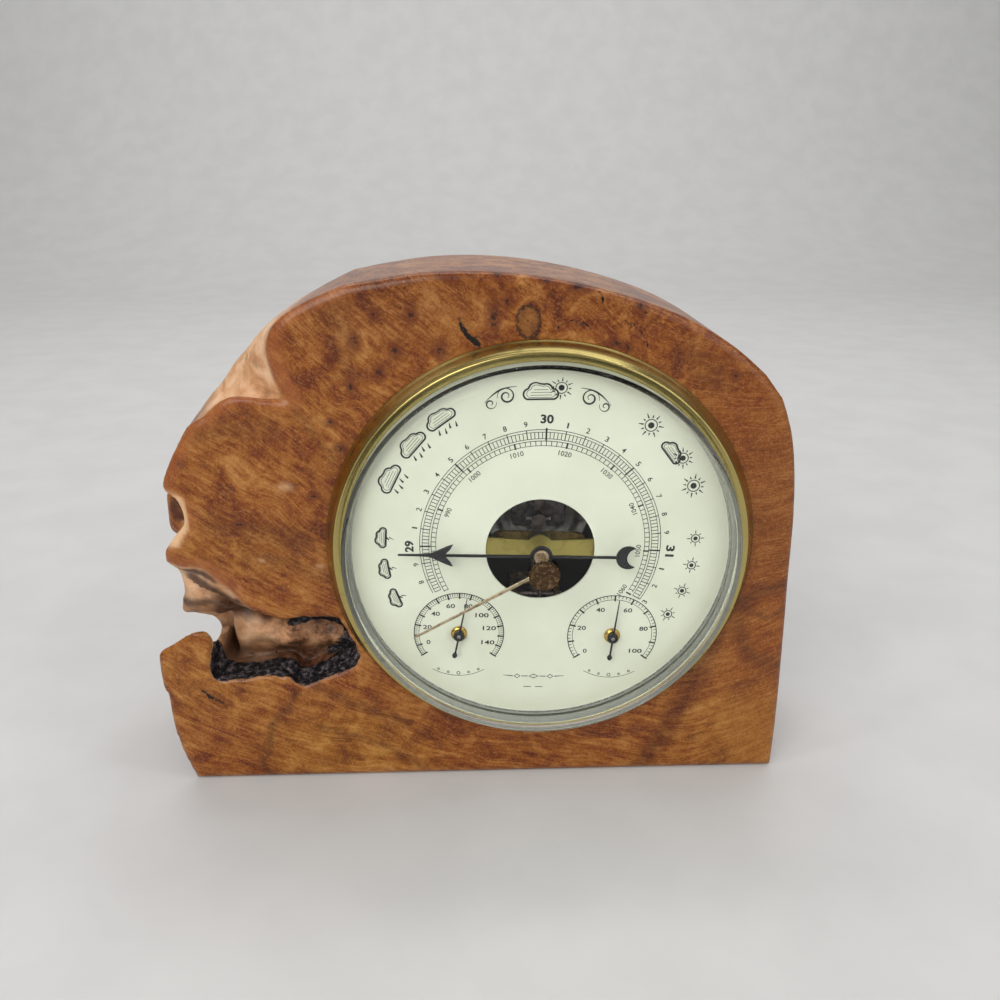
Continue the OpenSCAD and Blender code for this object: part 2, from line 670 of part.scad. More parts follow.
module cock_posts() {
    color("goldenrod") on_dial() for (side = [-1, 1]) translate([side * cock_post_x, 0, 0])
        rod(cock_post_r, bar_y + bar_t, low_cock_y);
}
module lower_cock() {
    color("goldenrod") on_dial() difference() {
        plate(low_cock_y, low_cock_y + low_cock_t) hull() for (side = [-1, 1])
            translate([side * cock_post_x, 0]) circle(r = 2 * cock_post_r);
        rod(pivot_r + run_gap, low_cock_y - 1, low_cock_y + low_cock_t + 1);
    }
}

// The pressure hand

hand_t = 0.6;
hub_r = 4;
boss_r = 1.4;
module pressure_hand() {
    barb = hand_len * 0.62;
    left = [[-0.5, -hand_len * 0.543], [-0.4, barb + hand_len * 0.052], [-hand_len * 0.085, barb],
        [-0.37, barb + hand_len * 0.139], [-0.32, hand_len]];
    tail_r = hand_len * 0.0865;
    front = -hand_out - hand_t / 2;
    back = front + hand_t;
    color("black") on_dial() pointing(hand_angle) difference() {
        union() {
            rod(hub_r, front, back);
            plate(front, back) polygon(concat(left, [for (i = [4:-1:0]) [-left[i][0], left[i][1]]]));
            plate(front, back) translate([0, -hand_len * 0.612]) difference() {
                circle(r = tail_r);
                translate([0, -tail_r / 2]) circle(r = tail_r * 0.8);
            }
        }
        rod(boss_r, front - 1, back + 1);
    }
}
module hand_boss() {
    front = -hand_out - hand_t / 2;
    color("goldenrod") on_dial() difference() {
        union() {
            rod(2.7, front - 0.9, front);
            rod(boss_r, front, -hand_out + 2);
        }
        rod(arbor_r, arbor_front, 0);
        rod(0.4, front - 2, front);
    }
}

// The set hand, turned by a knob in front of the crystal

spindle_r = 0.95;
ferrule_t = 1;
module crystal_bush() {
    hole = spindle_r + run_gap;
    color("goldenrod") on_dial() difference() {
        union() {
            rod(spindle_r + ferrule_t, -crown_out - 0.2, -crown_out + crystal_t + 0.1);
            rod(3, -crown_out + crystal_t + 0.1, -crown_out + crystal_t + 0.5);
        }
        rod(hole, -crown_out - 1, -crown_out + crystal_t + 1);
    }
}
hub_y = -crown_out + crystal_t + 0.6;
module set_knob() {
    back = -crown_out - knob_gap;
    color("darkgoldenrod") on_dial() difference() {
        plate(back - knob_t, back) union() {
            circle(r = knob_r - 0.5);
            for (i = [0:knob_teeth - 1]) rotate(i * 360 / knob_teeth)
                translate([knob_r - 0.5, 0]) circle(r = 0.5, $fn = 12);
        }
        rod(spindle_r, back - knob_t + 0.8, back + 1);
    }
}
module set_spindle() {
    color("silver") on_dial() rod(spindle_r, -crown_out - knob_gap - knob_t + 0.8, hub_y + 1.2);
}
module set_hand() {
    tip_y = -shoulder_out + 1.3;
    color("tan") on_dial() pointing(set_angle) difference() {
        union() {
            rod(2.2, hub_y, hub_y + 1.2);
            rotate([90, 0, 90]) translate([0, 0, -0.45]) linear_extrude(0.9) polygon([
                [hub_y + 0.2, 0], [hub_y + 1, 0], [tip_y + 0.6, set_len], [tip_y, set_len]]);
        }
        rod(spindle_r, hub_y - 1, hub_y + 3);
    }
}

// The thermometer and the hygrometer, alike but for their coils

module small_bush() {
    difference() {
        union() {
            turned([[0, -1.3], [1.9, -1.3], [2.6, -1], [bush_r, 0], [0, 0]]);
            rod(neck_r, 0, neck_y);
        }
        rod(small_arbor_r + run_gap, -2, neck_y + 1);
    }
}
module small_arbor() {
    rod(small_arbor_r, -small_hand_out - 0.7, coil_y + coil_w + 0.6);
    rod(coil_in, coil_y, coil_y + coil_w);
}
module small_hand(angle) {
    tail = small_hand_len * 0.615;
    spade = small_hand_len * 0.058;
    pointing(angle) difference() {
        union() {
            rod(2.05, -small_hand_out - 0.4, -small_hand_out + 0.5);
            plate(-small_hand_out - 0.2, -small_hand_out + 0.2) {
                polygon([[-0.35, 0], [-0.15, small_hand_len], [0.15, small_hand_len], [0.35, 0]]);
                polygon([[-0.3, 0], [-0.3, -tail * 0.73], [0.3, -tail * 0.73], [0.3, 0]]);
                polygon([[0, -tail * 0.66], [spade, -tail * 0.83], [0, -tail], [-spade, -tail * 0.83]]);
            }
        }
        rod(small_arbor_r, -small_hand_out - 1, -small_hand_out + 1);
    }
}
module small_coil(t) {
    plate(coil_y, coil_y + coil_w) polygon(spiral(coil_in, coil_out, coil_turns, 32 * coil_turns, t));
}
// A U-shaped frame hangs on the bush's neck and holds the coil's outer end
module small_frame(t) {
    leg = coil_out + t + 0.95;
    difference() {
        union() {
            translate([-leg, dial_t, -3.5]) cube([2 * leg, neck_y - dial_t - 0.4, 7]);
            for (x = [-leg, leg - 1]) translate([x, dial_t, -3.5])
                cube([1, coil_y + coil_w + 1 - dial_t, 7]);
        }
        rod(neck_r, 0, neck_y + 1);
    }
}
module thermo_bush() { color("goldenrod") on_dial() small_dial_at(-1) small_bush(); }
module thermo_arbor() { color("silver") on_dial() small_dial_at(-1) small_arbor(); }
module thermo_hand() { color("black") on_dial() small_dial_at(-1) small_hand(thermo_angle); }
module thermo_coil() { color("rosybrown") on_dial() small_dial_at(-1) small_coil(coil_t[0]); }
module thermo_frame() { color("silver") on_dial() small_dial_at(-1) small_frame(coil_t[0]); }
module hygro_bush() { color("goldenrod") on_dial() small_dial_at(1) small_bush(); }
module hygro_arbor() { color("silver") on_dial() small_dial_at(1) small_arbor(); }
module hygro_hand() { color("black") on_dial() small_dial_at(1) small_hand(hygro_angle); }
module hygro_coil() { color("wheat") on_dial() small_dial_at(1) small_coil(coil_t[1]); }
module hygro_frame() { color("silver") on_dial() small_dial_at(1) small_frame(coil_t[1]); }

burl_block();
bezel_ring();
crystal();
crystal_gasket();
dial_plate();
case_pan();
case_clips();
movement_plate();
plate_spacers();
plate_screws();
capsule();
adjusting_screw();
capsule_post();
knife_pin();
main_spring();
spring_screws();
main_lever();
lever_link();
rocker_bracket();
bracket_screws();
pivot_screws();
rocker();
chain();
hand_arbor();
hairspring();
hairspring_stud();
cock_bar();
lower_cock();
cock_posts();
bar_pillars();
bar_screws();
pressure_hand();
hand_boss();
crystal_bush();
set_knob();
set_spindle();
set_hand();
thermo_bush();
thermo_arbor();
thermo_hand();
thermo_coil();
thermo_frame();
hygro_bush();
hygro_arbor();
hygro_hand();
hygro_coil();
hygro_frame();
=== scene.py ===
"""Looks of the weather station: a domed brass dial in a burl block with one natural edge.

Sizes in this file are millimetres from the arbor axis at the dial's face, with x to the right,
y into the wood and z up, until a mesh is made from them.
"""

import math

import bmesh
import bpy
import numpy as np
from mathutils import Matrix, Vector


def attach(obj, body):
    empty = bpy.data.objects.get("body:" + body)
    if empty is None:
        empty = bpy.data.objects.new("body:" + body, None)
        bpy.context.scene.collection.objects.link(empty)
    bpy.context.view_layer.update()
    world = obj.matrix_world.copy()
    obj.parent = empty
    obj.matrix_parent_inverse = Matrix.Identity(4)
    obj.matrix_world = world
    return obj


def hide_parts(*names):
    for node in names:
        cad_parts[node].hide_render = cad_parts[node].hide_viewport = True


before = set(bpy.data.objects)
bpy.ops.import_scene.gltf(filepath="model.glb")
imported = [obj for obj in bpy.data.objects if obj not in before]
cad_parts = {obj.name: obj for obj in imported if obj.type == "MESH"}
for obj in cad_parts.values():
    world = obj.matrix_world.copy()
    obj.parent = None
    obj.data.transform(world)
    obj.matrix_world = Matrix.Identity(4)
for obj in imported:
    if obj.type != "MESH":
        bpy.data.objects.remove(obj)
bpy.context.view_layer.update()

MM = 0.001
AXIS = np.array([24.3, -17.45, 95.5])  # the arbor axis at the dial's face, in the part
ROLL = math.radians(2.2)  # the dial is turned clockwise in its bore

# Camera: place and directions found from the round scale and the sawn edges of the photograph
CAMERA_AT = (-20.8, -274.35, 126.6)
CAMERA_RIGHT = (0.99966, -0.0270, -0.00676)
CAMERA_UP = (0.01617, 0.3642, 0.93115)
CAMERA_BACK = (-0.02271, -0.9309, 0.36452)
LENS = 30.7

DIAL = Matrix.Translation(AXIS * MM) @ Matrix.Rotation(ROLL, 4, "Y")


# Places and meshes
def rolled(x, z, angle, centre=(0, 0)):
    """A place in the dial's plane, turned clockwise by an angle in radians and moved to a centre."""
    c, s = math.cos(angle), math.sin(angle)
    return centre[0] + x * c + z * s, centre[1] + z * c - x * s


def polar(radius, angle, centre=(0, 0)):
    """The place at a radius and at an angle in radians, clockwise from the top."""
    return centre[0] + radius * math.sin(angle), centre[1] + radius * math.cos(angle)


def at_depth(places, y):
    return [(x, y, z) for x, z in places]


def moved(profile, depth):
    return [(r, y + depth) for r, y in profile]


def upright(points):
    """Points in millimetres from the arbor axis, in the block's own frame, to metres in the part."""
    return (np.asarray(points, float).reshape(-1, 3) + AXIS) * MM


def on_dial(points):
    """Points in the dial's frame, which is rolled in the block, to metres in the part."""
    x, y, z = np.asarray(points, float).reshape(-1, 3).T
    x, z = rolled(x, z, ROLL)
    return upright(np.stack([x, y, z], 1))


def linked(name, data):
    """A new object in the scene with the given data."""
    obj = bpy.data.objects.new(name, data)
    bpy.context.scene.collection.objects.link(obj)
    return obj


def add_mesh(name, points, faces, smooth=True):
    mesh = bpy.data.meshes.new(name)
    mesh.from_pydata([tuple(p) for p in points], [], faces)
    mesh.validate()
    tidy = bmesh.new()
    tidy.from_mesh(mesh)
    bmesh.ops.recalc_face_normals(tidy, faces=tidy.faces)
    tidy.to_mesh(mesh)
    tidy.free()
    if smooth:
        mesh.polygons.foreach_set("use_smooth", [True] * len(mesh.polygons))
    return linked(name, mesh)


def joined(name, objects):
    """One object with the meshes of all the given ones, which go away."""
    whole = bmesh.new()
    for obj in objects:
        mesh = obj.data
        whole.from_mesh(mesh)
        bpy.data.objects.remove(obj)
        bpy.data.meshes.remove(mesh)
    mesh = bpy.data.meshes.new(name)
    whole.to_mesh(mesh)
    whole.free()
    return linked(name, mesh)


def turned(name, profile, steps=192, centre=(0, 0)):
    """A turned piece: the closed profile of (radius, depth) goes round an axis parallel to the arbor.
    Profile points on the axis become one point each."""
    points, rows, faces = [], [], []
    for r, y in profile:
        count = steps if r > 0 else 1
        rows.append([len(points) + k % count for k in range(steps)])
        points += at_depth([polar(r, 2 * math.pi * k / steps, centre) for k in range(count)], y)
    if profile[0][0] > 0 or profile[-1][0] > 0:
        rows.append(rows[0])
    for a, b in zip(rows, rows[1:]):
        for k in range(steps):
            n = (k + 1) % steps
            face = list(dict.fromkeys([a[k], a[n], b[n], b[k]]))
            if len(face) > 2:
                faces.append(face)
    return add_mesh(name, on_dial(points), faces)


def capped(name, rings):
    """A piece on the dial through rings of as many points each, with flat ends."""
    n, last = len(rings[0]), len(rings) - 1
    faces = [[k * n + i, k * n + (i + 1) % n, (k + 1) * n + (i + 1) % n, (k + 1) * n + i]
             for k in range(last) for i in range(n)]
    faces += [list(range(n))[::-1], [last * n + i for i in range(n)]]
    return add_mesh(name, on_dial(rings), faces, False)


def plate(name, outline, front, back, bevel, angle, centre=(0, 0)):
    """A flat piece of the outline (x, z), from its front depth to its back depth, with its front
    edge broken by a bevel, turned clockwise by the angle about the arbor or a small dial's centre."""
    o = np.array(outline, float)
    if np.sum(o[:, 0] * np.roll(o[:, 1], -1) - np.roll(o[:, 0], -1) * o[:, 1]) < 0:
        o = o[::-1]
    edge = np.roll(o, -1, 0) - o
    edge /= np.linalg.norm(edge, axis=1)[:, None]
    inward = np.stack([-edge[:, 1], edge[:, 0]], 1)
    mitre = inward + np.roll(inward, 1, 0)
    mitre *= 2 / np.maximum(np.linalg.norm(mitre, axis=1)[:, None], 0.7) ** 2
    rings = []
    for ring, y in ((o, back), (o, front + bevel), (o + mitre * bevel, front)):
        rings.append(at_depth([rolled(x, z, math.radians(angle), centre) for x, z in ring], y))
    return capped(name, rings)


def arc(centre, radius, start, end, steps):
    """Points of a profile's arc, by angles in degrees from the radial direction towards the back."""
    angles = np.radians(np.linspace(start, end, steps))
    return [(centre[0] + radius * math.cos(a), centre[1] + radius * math.sin(a)) for a in angles]


# Nodes of materials and of Geometry Nodes
class Nodes:
    """Adds nodes to one tree; each call gives the sockets of the node it made."""

    def __init__(self, tree):
        self.tree = tree

    def add(self, kind, links=None, **settings):
        node = self.tree.nodes.new(kind)
        for key, value in settings.items():
            setattr(node, key, value)
        for socket, source in (links or {}).items():
            if isinstance(source, bpy.types.NodeSocket):
                self.tree.links.new(source, node.inputs[socket])
            else:
                node.inputs[socket].default_value = source
        return node.outputs

    def put(self, source, target):
        self.tree.links.new(source, target)

    def use(self, tree, links):
        return self.add("ShaderNodeGroup", links, node_tree=tree)

    def calc(self, operation, a, b=0.0, c=0.0, clamp=False):
        return self.add("ShaderNodeMath", {0: a, 1: b, 2: c}, operation=operation, use_clamp=clamp)[0]

    def vector(self, operation, a, b=(0, 0, 0)):
        out = self.add("ShaderNodeVectorMath", {0: a, 1: b}, operation=operation)
        return out["Value"] if operation == "LENGTH" else out["Vector"]

    def smooth(self, value, low, high, to_low=0.0, to_high=1.0):
        ends = {"Value": value, "From Min": low, "From Max": high, "To Min": to_low, "To Max": to_high}
        return self.add("ShaderNodeMapRange", ends, interpolation_type="SMOOTHSTEP")["Result"]

    def noise(self, vector, scale, detail=3.0, rough=0.55, distortion=0.0):
        return self.add("ShaderNodeTexNoise", {"Vector": vector, "Scale": scale, "Detail": detail,
                                               "Roughness": rough, "Distortion": distortion})["Fac"]

    def mix(self, share, a, b):
        return self.add("ShaderNodeMix", {0: share, 6: a, 7: b}, data_type="RGBA", clamp_factor=True)[2]

    def tint(self, colour, *coats):
        """The colour under coats of other colours, each with its mask."""
        for mask, shade in coats:
            colour = self.mix(mask, colour, hue(*shade) if isinstance(shade, tuple) else shade)
        return colour

    def ramp(self, share, *stops):
        out = self.add("ShaderNodeValToRGB", {0: share})
        points = out[0].node.color_ramp.elements
        while len(points) < len(stops):
            points.new(0.5)
        for point, (place, *shade) in zip(points, stops):
            point.position, point.color = place, hue(*shade)
        return out[0]


def group(name, inputs, outputs, kind="ShaderNodeTree"):
    """A node group with named inputs, some with a value, and named outputs."""
    tree = bpy.data.node_groups.new(name, kind)
    for label, what, *value in inputs:
        socket = tree.interface.new_socket(label, in_out="INPUT", socket_type="NodeSocket" + what)
        if value:
            socket.default_value = value[0]
    for label, what in outputs:
        tree.interface.new_socket(label, in_out="OUTPUT", socket_type="NodeSocket" + what)
    return Nodes(tree), tree.nodes.new("NodeGroupInput").outputs, tree.nodes.new("NodeGroupOutput").inputs


def hue(red, green, blue):
    """A screen colour, 0 to 255, as the linear colour that shaders take."""
    return tuple(c / 12.92 if c <= 0.04045 else ((c + 0.055) / 1.055) ** 2.4
                 for c in (red / 255, green / 255, blue / 255)) + (1.0,)


# Burl block
DIAL_SINK, BLOCK_DEPTH = 1.0, 58.0
FROM_RIGHT, WIDTH = 92.7, 234.0
BARK_DEPTH, LIP_DEPTH, POCKET_DEPTH, CLOSED_DEPTH, GAP_DROP, LIP_POINTS = 30, 15, 27, 34, 2.3, 4
ROUNDING, ROUNDING_LOST = 2.6, 1.9  # of the block's edges, and how much less it is beside the pocket
SHUT_IN, SHUT_TOP, SHUT_TALL = 7.2, -34.5, 12.1  # the pocket's end: x from the chin, top and height
POCKET_POINTS = slice(6, 27)  # the points of INLET that go round the pocket
BORES = ((71.6, 5.6), (66.8, 33.5))  # radius and depth of the two steps of the bore for the instrument
SCREW_UP, SCREW_BORE, SCREW_DEPTH = 6.4, 5.0, 30.0  # the bore from the back for the adjusting screw
GRID, GRID_X, GRID_Y, GRID_Z = 1.25, (-145.6, 96.5), (-3.63, 60.5), (-98.7, 99.5)
CHIN = FROM_RIGHT - WIDTH
RIGHT_SIDE = [[0, -95.5], [0, -75], [-1, -42], [-2.2, -14], [-3, 10], [-4.7, 28], [-7.4, 42],
              [-11.7, 53.5]]
ARCH = [[74.7, 61.5], [64, 70.5], [50.4, 78.8], [36.5, 84.8], [18, 90.4], [-1, 94.2], [-20, 96],
        [-38, 95.7], [-51, 94]]
# x and z at the front face, then x and z where the natural edge reaches furthest
UPPER_EDGE = [[79.3, 92.4, 75, 91.8], [69, 88.6, 61, 85], [60.5, 84.2, 51, 79.2], [54.6, 78.4, 45, 74.4],
              [53.6, 70, 39, 68], [56.5, 61.5, 33, 61.5], [58.8, 56, 28, 55], [51.5, 56.8, 24, 51],
              [42.8, 58.2, 21, 47.5], [37, 56.5, 18, 44], [31, 51.5, 15.5, 41], [25, 48.3, 13.5, 38],
              [21, 42.5, 11.5, 34], [16.8, 35.8, 10.5, 30], [12.6, 27.5, 10, 25], [13, 24.3, 10.5, 20],
              [17, 20, 14, 15], [18, 13, 14, 8], [14.7, 9, 11.5, 3], [9.3, 2.3, 9.5, -2]]
LOWER_EDGE = [[0.5, -39.5, 6.5, -48], [0, -46.5, 6.5, -52], [0.2, -53, 7, -56.5], [1.5, -57.5, 8, -60.5],
              [1.5, -66, 8, -67], [2.4, -76, 9, -76], [4.4, -86, 11, -86], [7.5, -95.5, 14, -95.5]]
INLET = [[-132, -1.2, -133.5, -11], [-126.7, -4.2, -133.4, -16], [-119, -4.2, -134, -22],
         [-113.5, -9.5, -136, -30.5], [-109.6, -12.4, -130, -31], [-106.5, -17, -122, -32.5],
         [-103, -21.5, -113, -29], [-96, -25, -100, -26.5], [-92.3, -26.5, -92.5, -27.5],
         [-86.7, -25, -86.7, -26.5], [-79.5, -24.7, -80.5, -26.7], [-73.5, -26, -75.5, -29],
         [-70.8, -29.5, -73.5, -32], [-68.7, -34.5, -71.5, -35.5], [-67, -38.8, -70, -39.3],
         [-66.5, -42.7, -69.8, -42], [-68.4, -46.5, -72, -45], [-74.1, -49.3, -76.5, -47.3],
         [-81.8, -52.2, -83, -49.5], [-88.7, -54.5, -89, -51.5], [-92.8, -50.6, -93, -48.6],
         [-100.1, -49.6, -100, -47.6], [-111.3, -51, -110, -48.8], [-120.5, -51.3, -117.5, -48.5],
         [-121.7, -44, -119, -43.5], [-119.6, -35.5, -120, -39.5], [-121.3, -29.4, -124, -40.5],
         [-126.1, -29.9, -128, -41.5], [-130.7, -32.3, -131, -42.5], [-135.5, -35.1, -133.5, -43.5],
         [-139.5, -37.5, -136, -44.5]]
# Hollows cut into the natural edge: where each starts and ends, its radius and how much that grows.
# First the gap under the lip, which goes on down and out to the left, then the two stretches of the
# groove that parts the lip's pale wood into two prongs.
CUTS = [((-123.5, 6, -34.5), (-140, 50, -57), 4.4, 3.5),
        ((-134, 10, -12.2), (-119, 6, -17.8), 1.2, 1.4),
        ((-119, 6, -17.8), (-106, 9, -27), 2.6, 1.2)]
# Behind the notch the wood swells out again, with a small hollow in it
SWELL, SWELL_R = [(-126.5, 9.5, 18.5), (-127, 9.5, 9)], 4.8
HOLLOW, HOLLOW_R = [(-127.8, 2.2, 20), (-127.2, 2.8, 13.5)], 3.0
# Strokes in the lip, painted shade under its edges as well as stain, as rows of points, then width and
# strength
LIP_SHADES = [([(-125.3, -10.7), (-117.7, -15.3), (-112.1, -20.3), (-108, -25.3), (-102.3, -29.7)], 4.6, 1.0),
              ([(-131.5, -24.5), (-121.5, -22.4), (-114.2, -21), (-109.3, -19.3)], 3.2, 0.85),
              ([(-126, -6.8), (-121.1, -7.3), (-116.1, -9.4)], 2.6, 1.0),
              ([(-116, -25), (-110, -26)], 9, 1.0)]
POCKET_BOTTOM = [(-121.7, -44), (-120.5, -51.3), (-111.3, -51), (-100.1, -49.6), (-92.8, -50.6),
                 (-88.7, -54.5), (-81.8, -52.2), (-74.1, -49.3), (-68.4, -46.5), (-66.5, -42.7)]


def smooth_line(points, n):
    """A smooth line through the points, with n steps between each two."""
    p = np.array(points, float)
    last = len(p) - 1
    out = []
    for i in range(last):
        a, b, c, d = p[max(i - 1, 0)], p[i], p[i + 1], p[min(i + 2, last)]
        for k in range(n):
            t = k / n
            out.append(0.5 * (2 * b + (c - a) * t + (2 * a - 5 * b + 4 * c - d) * t * t
                              + (3 * b - a - 3 * c + d) * t ** 3))
    out.append(p[-1])
    return out


def edge_rows(rows, t):
    r = np.array(rows, float)
    p = r[:, :2] + (r[:, 2:] - r[:, :2]) * t
    p[:, 0] += CHIN
    return p


def inlet_at(depth):
    r = np.array(INLET, float)
    front, lip = r[:, :2], r[:, 2:]
    deep = lip - [0, GAP_DROP]
    shut = deep.copy()
    n = len(r) - LIP_POINTS
    shut[LIP_POINTS:, 0] = CHIN + SHUT_IN
    shut[LIP_POINTS:, 1] = SHUT_TOP - SHUT_TALL * np.arange(n) / (n - 1)
    if depth < LIP_DEPTH:
        return front + (lip - front) * depth / LIP_DEPTH
    if depth < POCKET_DEPTH:
        return lip + (deep - lip) * (depth - LIP_DEPTH) / (POCKET_DEPTH - LIP_DEPTH)
    return deep + (shut - deep) * min(1, (depth - POCKET_DEPTH) / (CLOSED_DEPTH - POCKET_DEPTH))


def outline(depth, with_inlet=True):
    """The block's outline at a depth behind its front face, as points (x, z)."""
    t = math.sin(math.radians(90 * min(1, depth / BARK_DEPTH)))
    side = [[FROM_RIGHT + x, z] for x, z in RIGHT_SIDE]
    parts = [smooth_line(side, 2), smooth_line(ARCH, 3), smooth_line(edge_rows(UPPER_EDGE, t), 3)]
    if with_inlet:
        parts.append(smooth_line(inlet_at(depth), 2))
    parts.append(smooth_line(edge_rows(LOWER_EDGE, t), 3))
    return np.array([p for part in parts for p in part])


def outline_distance(x, z, poly):
    """Distance in the front plane to a closed outline, negative inside it."""
    best = np.full(x.shape, 1e9)
    inside = np.zeros(x.shape, bool)
    for (ax, az), (bx, bz) in zip(poly, np.roll(poly, -1, 0)):
        ex, ez = bx - ax, bz - az
        wx, wz = x - ax, z - az
        t = np.clip((wx * ex + wz * ez) / max(ex * ex + ez * ez, 1e-9), 0, 1)
        best = np.minimum(best, (wx - ex * t) ** 2 + (wz - ez * t) ** 2)
        if bz != az:
            inside ^= ((az > z) != (bz > z)) & (x < ax + ex * (z - az) / ez)
    return np.where(inside, -1, 1) * np.sqrt(best)


def line_distance(x, z, line):
    """Distance in the front plane to an open line."""
    best = np.full(x.shape, 1e9)
    for (ax, az), (bx, bz) in zip(line[:-1], line[1:]):
        ex, ez = bx - ax, bz - az
        t = np.clip(((x - ax) * ex + (z - az) * ez) / (ex * ex + ez * ez), 0, 1)
        best = np.minimum(best, (x - ax - ex * t) ** 2 + (z - az - ez * t) ** 2)
    return np.sqrt(best)


def step_up(low, high, value):
    t = np.clip((value - low) / (high - low), 0, 1)
    return t * t * (3 - 2 * t)


def lumps(x, y, z, sizes, seed):
    """Smooth random lumps from 0 to 1, of the given sizes along x, y and z."""
    table = np.random.default_rng(seed).random((32, 32, 32))
    cells, parts = [], []
    for value, size in zip((x, y, z), sizes):
        v = value / size + 500.0
        i = np.floor(v).astype(int)
        t = v - i
        cells.append((i % 32, (i + 1) % 32))
        parts.append(t * t * (3 - 2 * t))
    total = 0
    for a in (0, 1):
        for b in (0, 1):
            for c in (0, 1):
                weight = ((parts[0] if a else 1 - parts[0]) * (parts[1] if b else 1 - parts[1])
                          * (parts[2] if c else 1 - parts[2]))
                total = total + weight * table[cells[0][a], cells[1][b], cells[2][c]]
    return total


def bark_on(x, y, z):
    """Where black bark is left in the pocket: its left and lower walls and its right end."""
    low = step_up(6.5, 3.5, line_distance(x, z, POCKET_BOTTOM)) * step_up(13, 9, y)
    uneven = 7 * (lumps(x, y, z, (6, 6, 6), 4) - 0.5)
    right = step_up(-80, -72, x - 0.6 * (z + 42) + uneven) * step_up(-60, -56, z)
    roof = step_up(-97, -92, x + 0.3 * uneven) * step_up(-36.5, -33.5, z + 0.12 * (x + 85) + 0.3 * uneven)
    left = step_up(-113, -117, x + 0.3 * uneven) * step_up(-36, -40, z) * step_up(14, 10, y)
    return np.clip(np.maximum.reduce([low, right, roof, left]), 0, 1) * step_up(-18, -22, z)


def capsule_distance(x, y, z, start, end):
    a, e = np.array(start, float), np.array(end, float) - start
    t = np.clip(((x - a[0]) * e[0] + (y - a[1]) * e[1] + (z - a[2]) * e[2]) / e.dot(e), 0, 1)
    return np.sqrt((x - a[0] - e[0] * t) ** 2 + (y - a[1] - e[1] * t) ** 2 + (z - a[2] - e[2] * t) ** 2), t


def burl_field(xs, ys, zs):
    """How far each point of a grid is outside the block: negative inside the wood."""
    x, z = np.meshgrid(xs, zs, indexing="ij")
    field = np.empty((len(xs), len(ys), len(zs)))
    pocket_near = step_up(16, 4, line_distance(x, z, np.array(INLET)[POCKET_POINTS, :2]))
    rounding = ROUNDING - ROUNDING_LOST * pocket_near
    # the pale log-shaped wood that stands at the back of the pocket
    back_wall = (17 - 10 * np.exp(-((x + 100) / 17) ** 2 - ((z + 37 + 0.14 * (x + 100)) / 8) ** 2)
                 - 3 * step_up(-84, -72, x) + 40 * step_up(-115, -121, x)
                 + 3.4 * (lumps(x, 0 * x, z, (8, 9, 6), 11) - 0.5))
    shut = wide = None
    for j, y in enumerate(ys):
        depth = min(max(y + DIAL_SINK, 0), CLOSED_DEPTH)
        if shut is None or depth < CLOSED_DEPTH or ys[j - 1] + DIAL_SINK < CLOSED_DEPTH:
            wide = outline_distance(x, z, outline(depth))
            shut = outline_distance(x, z, outline(depth, False))
        yy = np.full(x.shape, y)
        rough = step_up(1, 7, depth) * on_left(x, z) * (1 - 0.7 * step_up(44, 52, z))
        side = wide + rough * (1.3 * lumps(x, yy, z, (9, 16, 7), 1) + 0.7 * lumps(x, yy, z, (3.5, 5, 3), 2))
        slab = max(-DIAL_SINK - y, y - (BLOCK_DEPTH - DIAL_SINK))
        a, b = side + rounding, slab + rounding
        solid = np.minimum(np.maximum(a, b), 0) + np.hypot(np.maximum(a, 0), np.maximum(b, 0)) - rounding
        solid = np.minimum(solid, np.maximum.reduce([shut + 1.0, back_wall - y, yy * 0 + slab + 1.0]))
        for start, end, radius, growth in CUTS:
            away, t = capsule_distance(x, yy, z, start, end)
            solid = np.maximum(solid, radius + growth * t - away)
        solid = np.minimum(solid, capsule_distance(x, yy, z, *SWELL)[0] - SWELL_R)
        solid = np.maximum(solid, HOLLOW_R - capsule_distance(x, yy, z, *HOLLOW)[0])
        crust = bark_on(x, yy, z) * step_up(0.2, 2, y + DIAL_SINK) * step_up(50, 44, y)
        crust = crust * (shut < -1.5) * (wide > -2.5)
        solid = solid + crust * (2.2 * lumps(x, yy, z, (2.6, 2.6, 2.6), 5) - 1.1)
        r = np.hypot(x, z)
        screw_x, screw_z = polar(SCREW_UP, ROLL)
        bore = np.maximum(np.hypot(x - screw_x, z - screw_z) - SCREW_BORE, SCREW_DEPTH - y)
        for radius, deep in BORES:
            bore = np.minimum(bore, np.maximum(r - radius, y - deep))
        field[:, j, :] = np.maximum(solid, -bore)
    return field


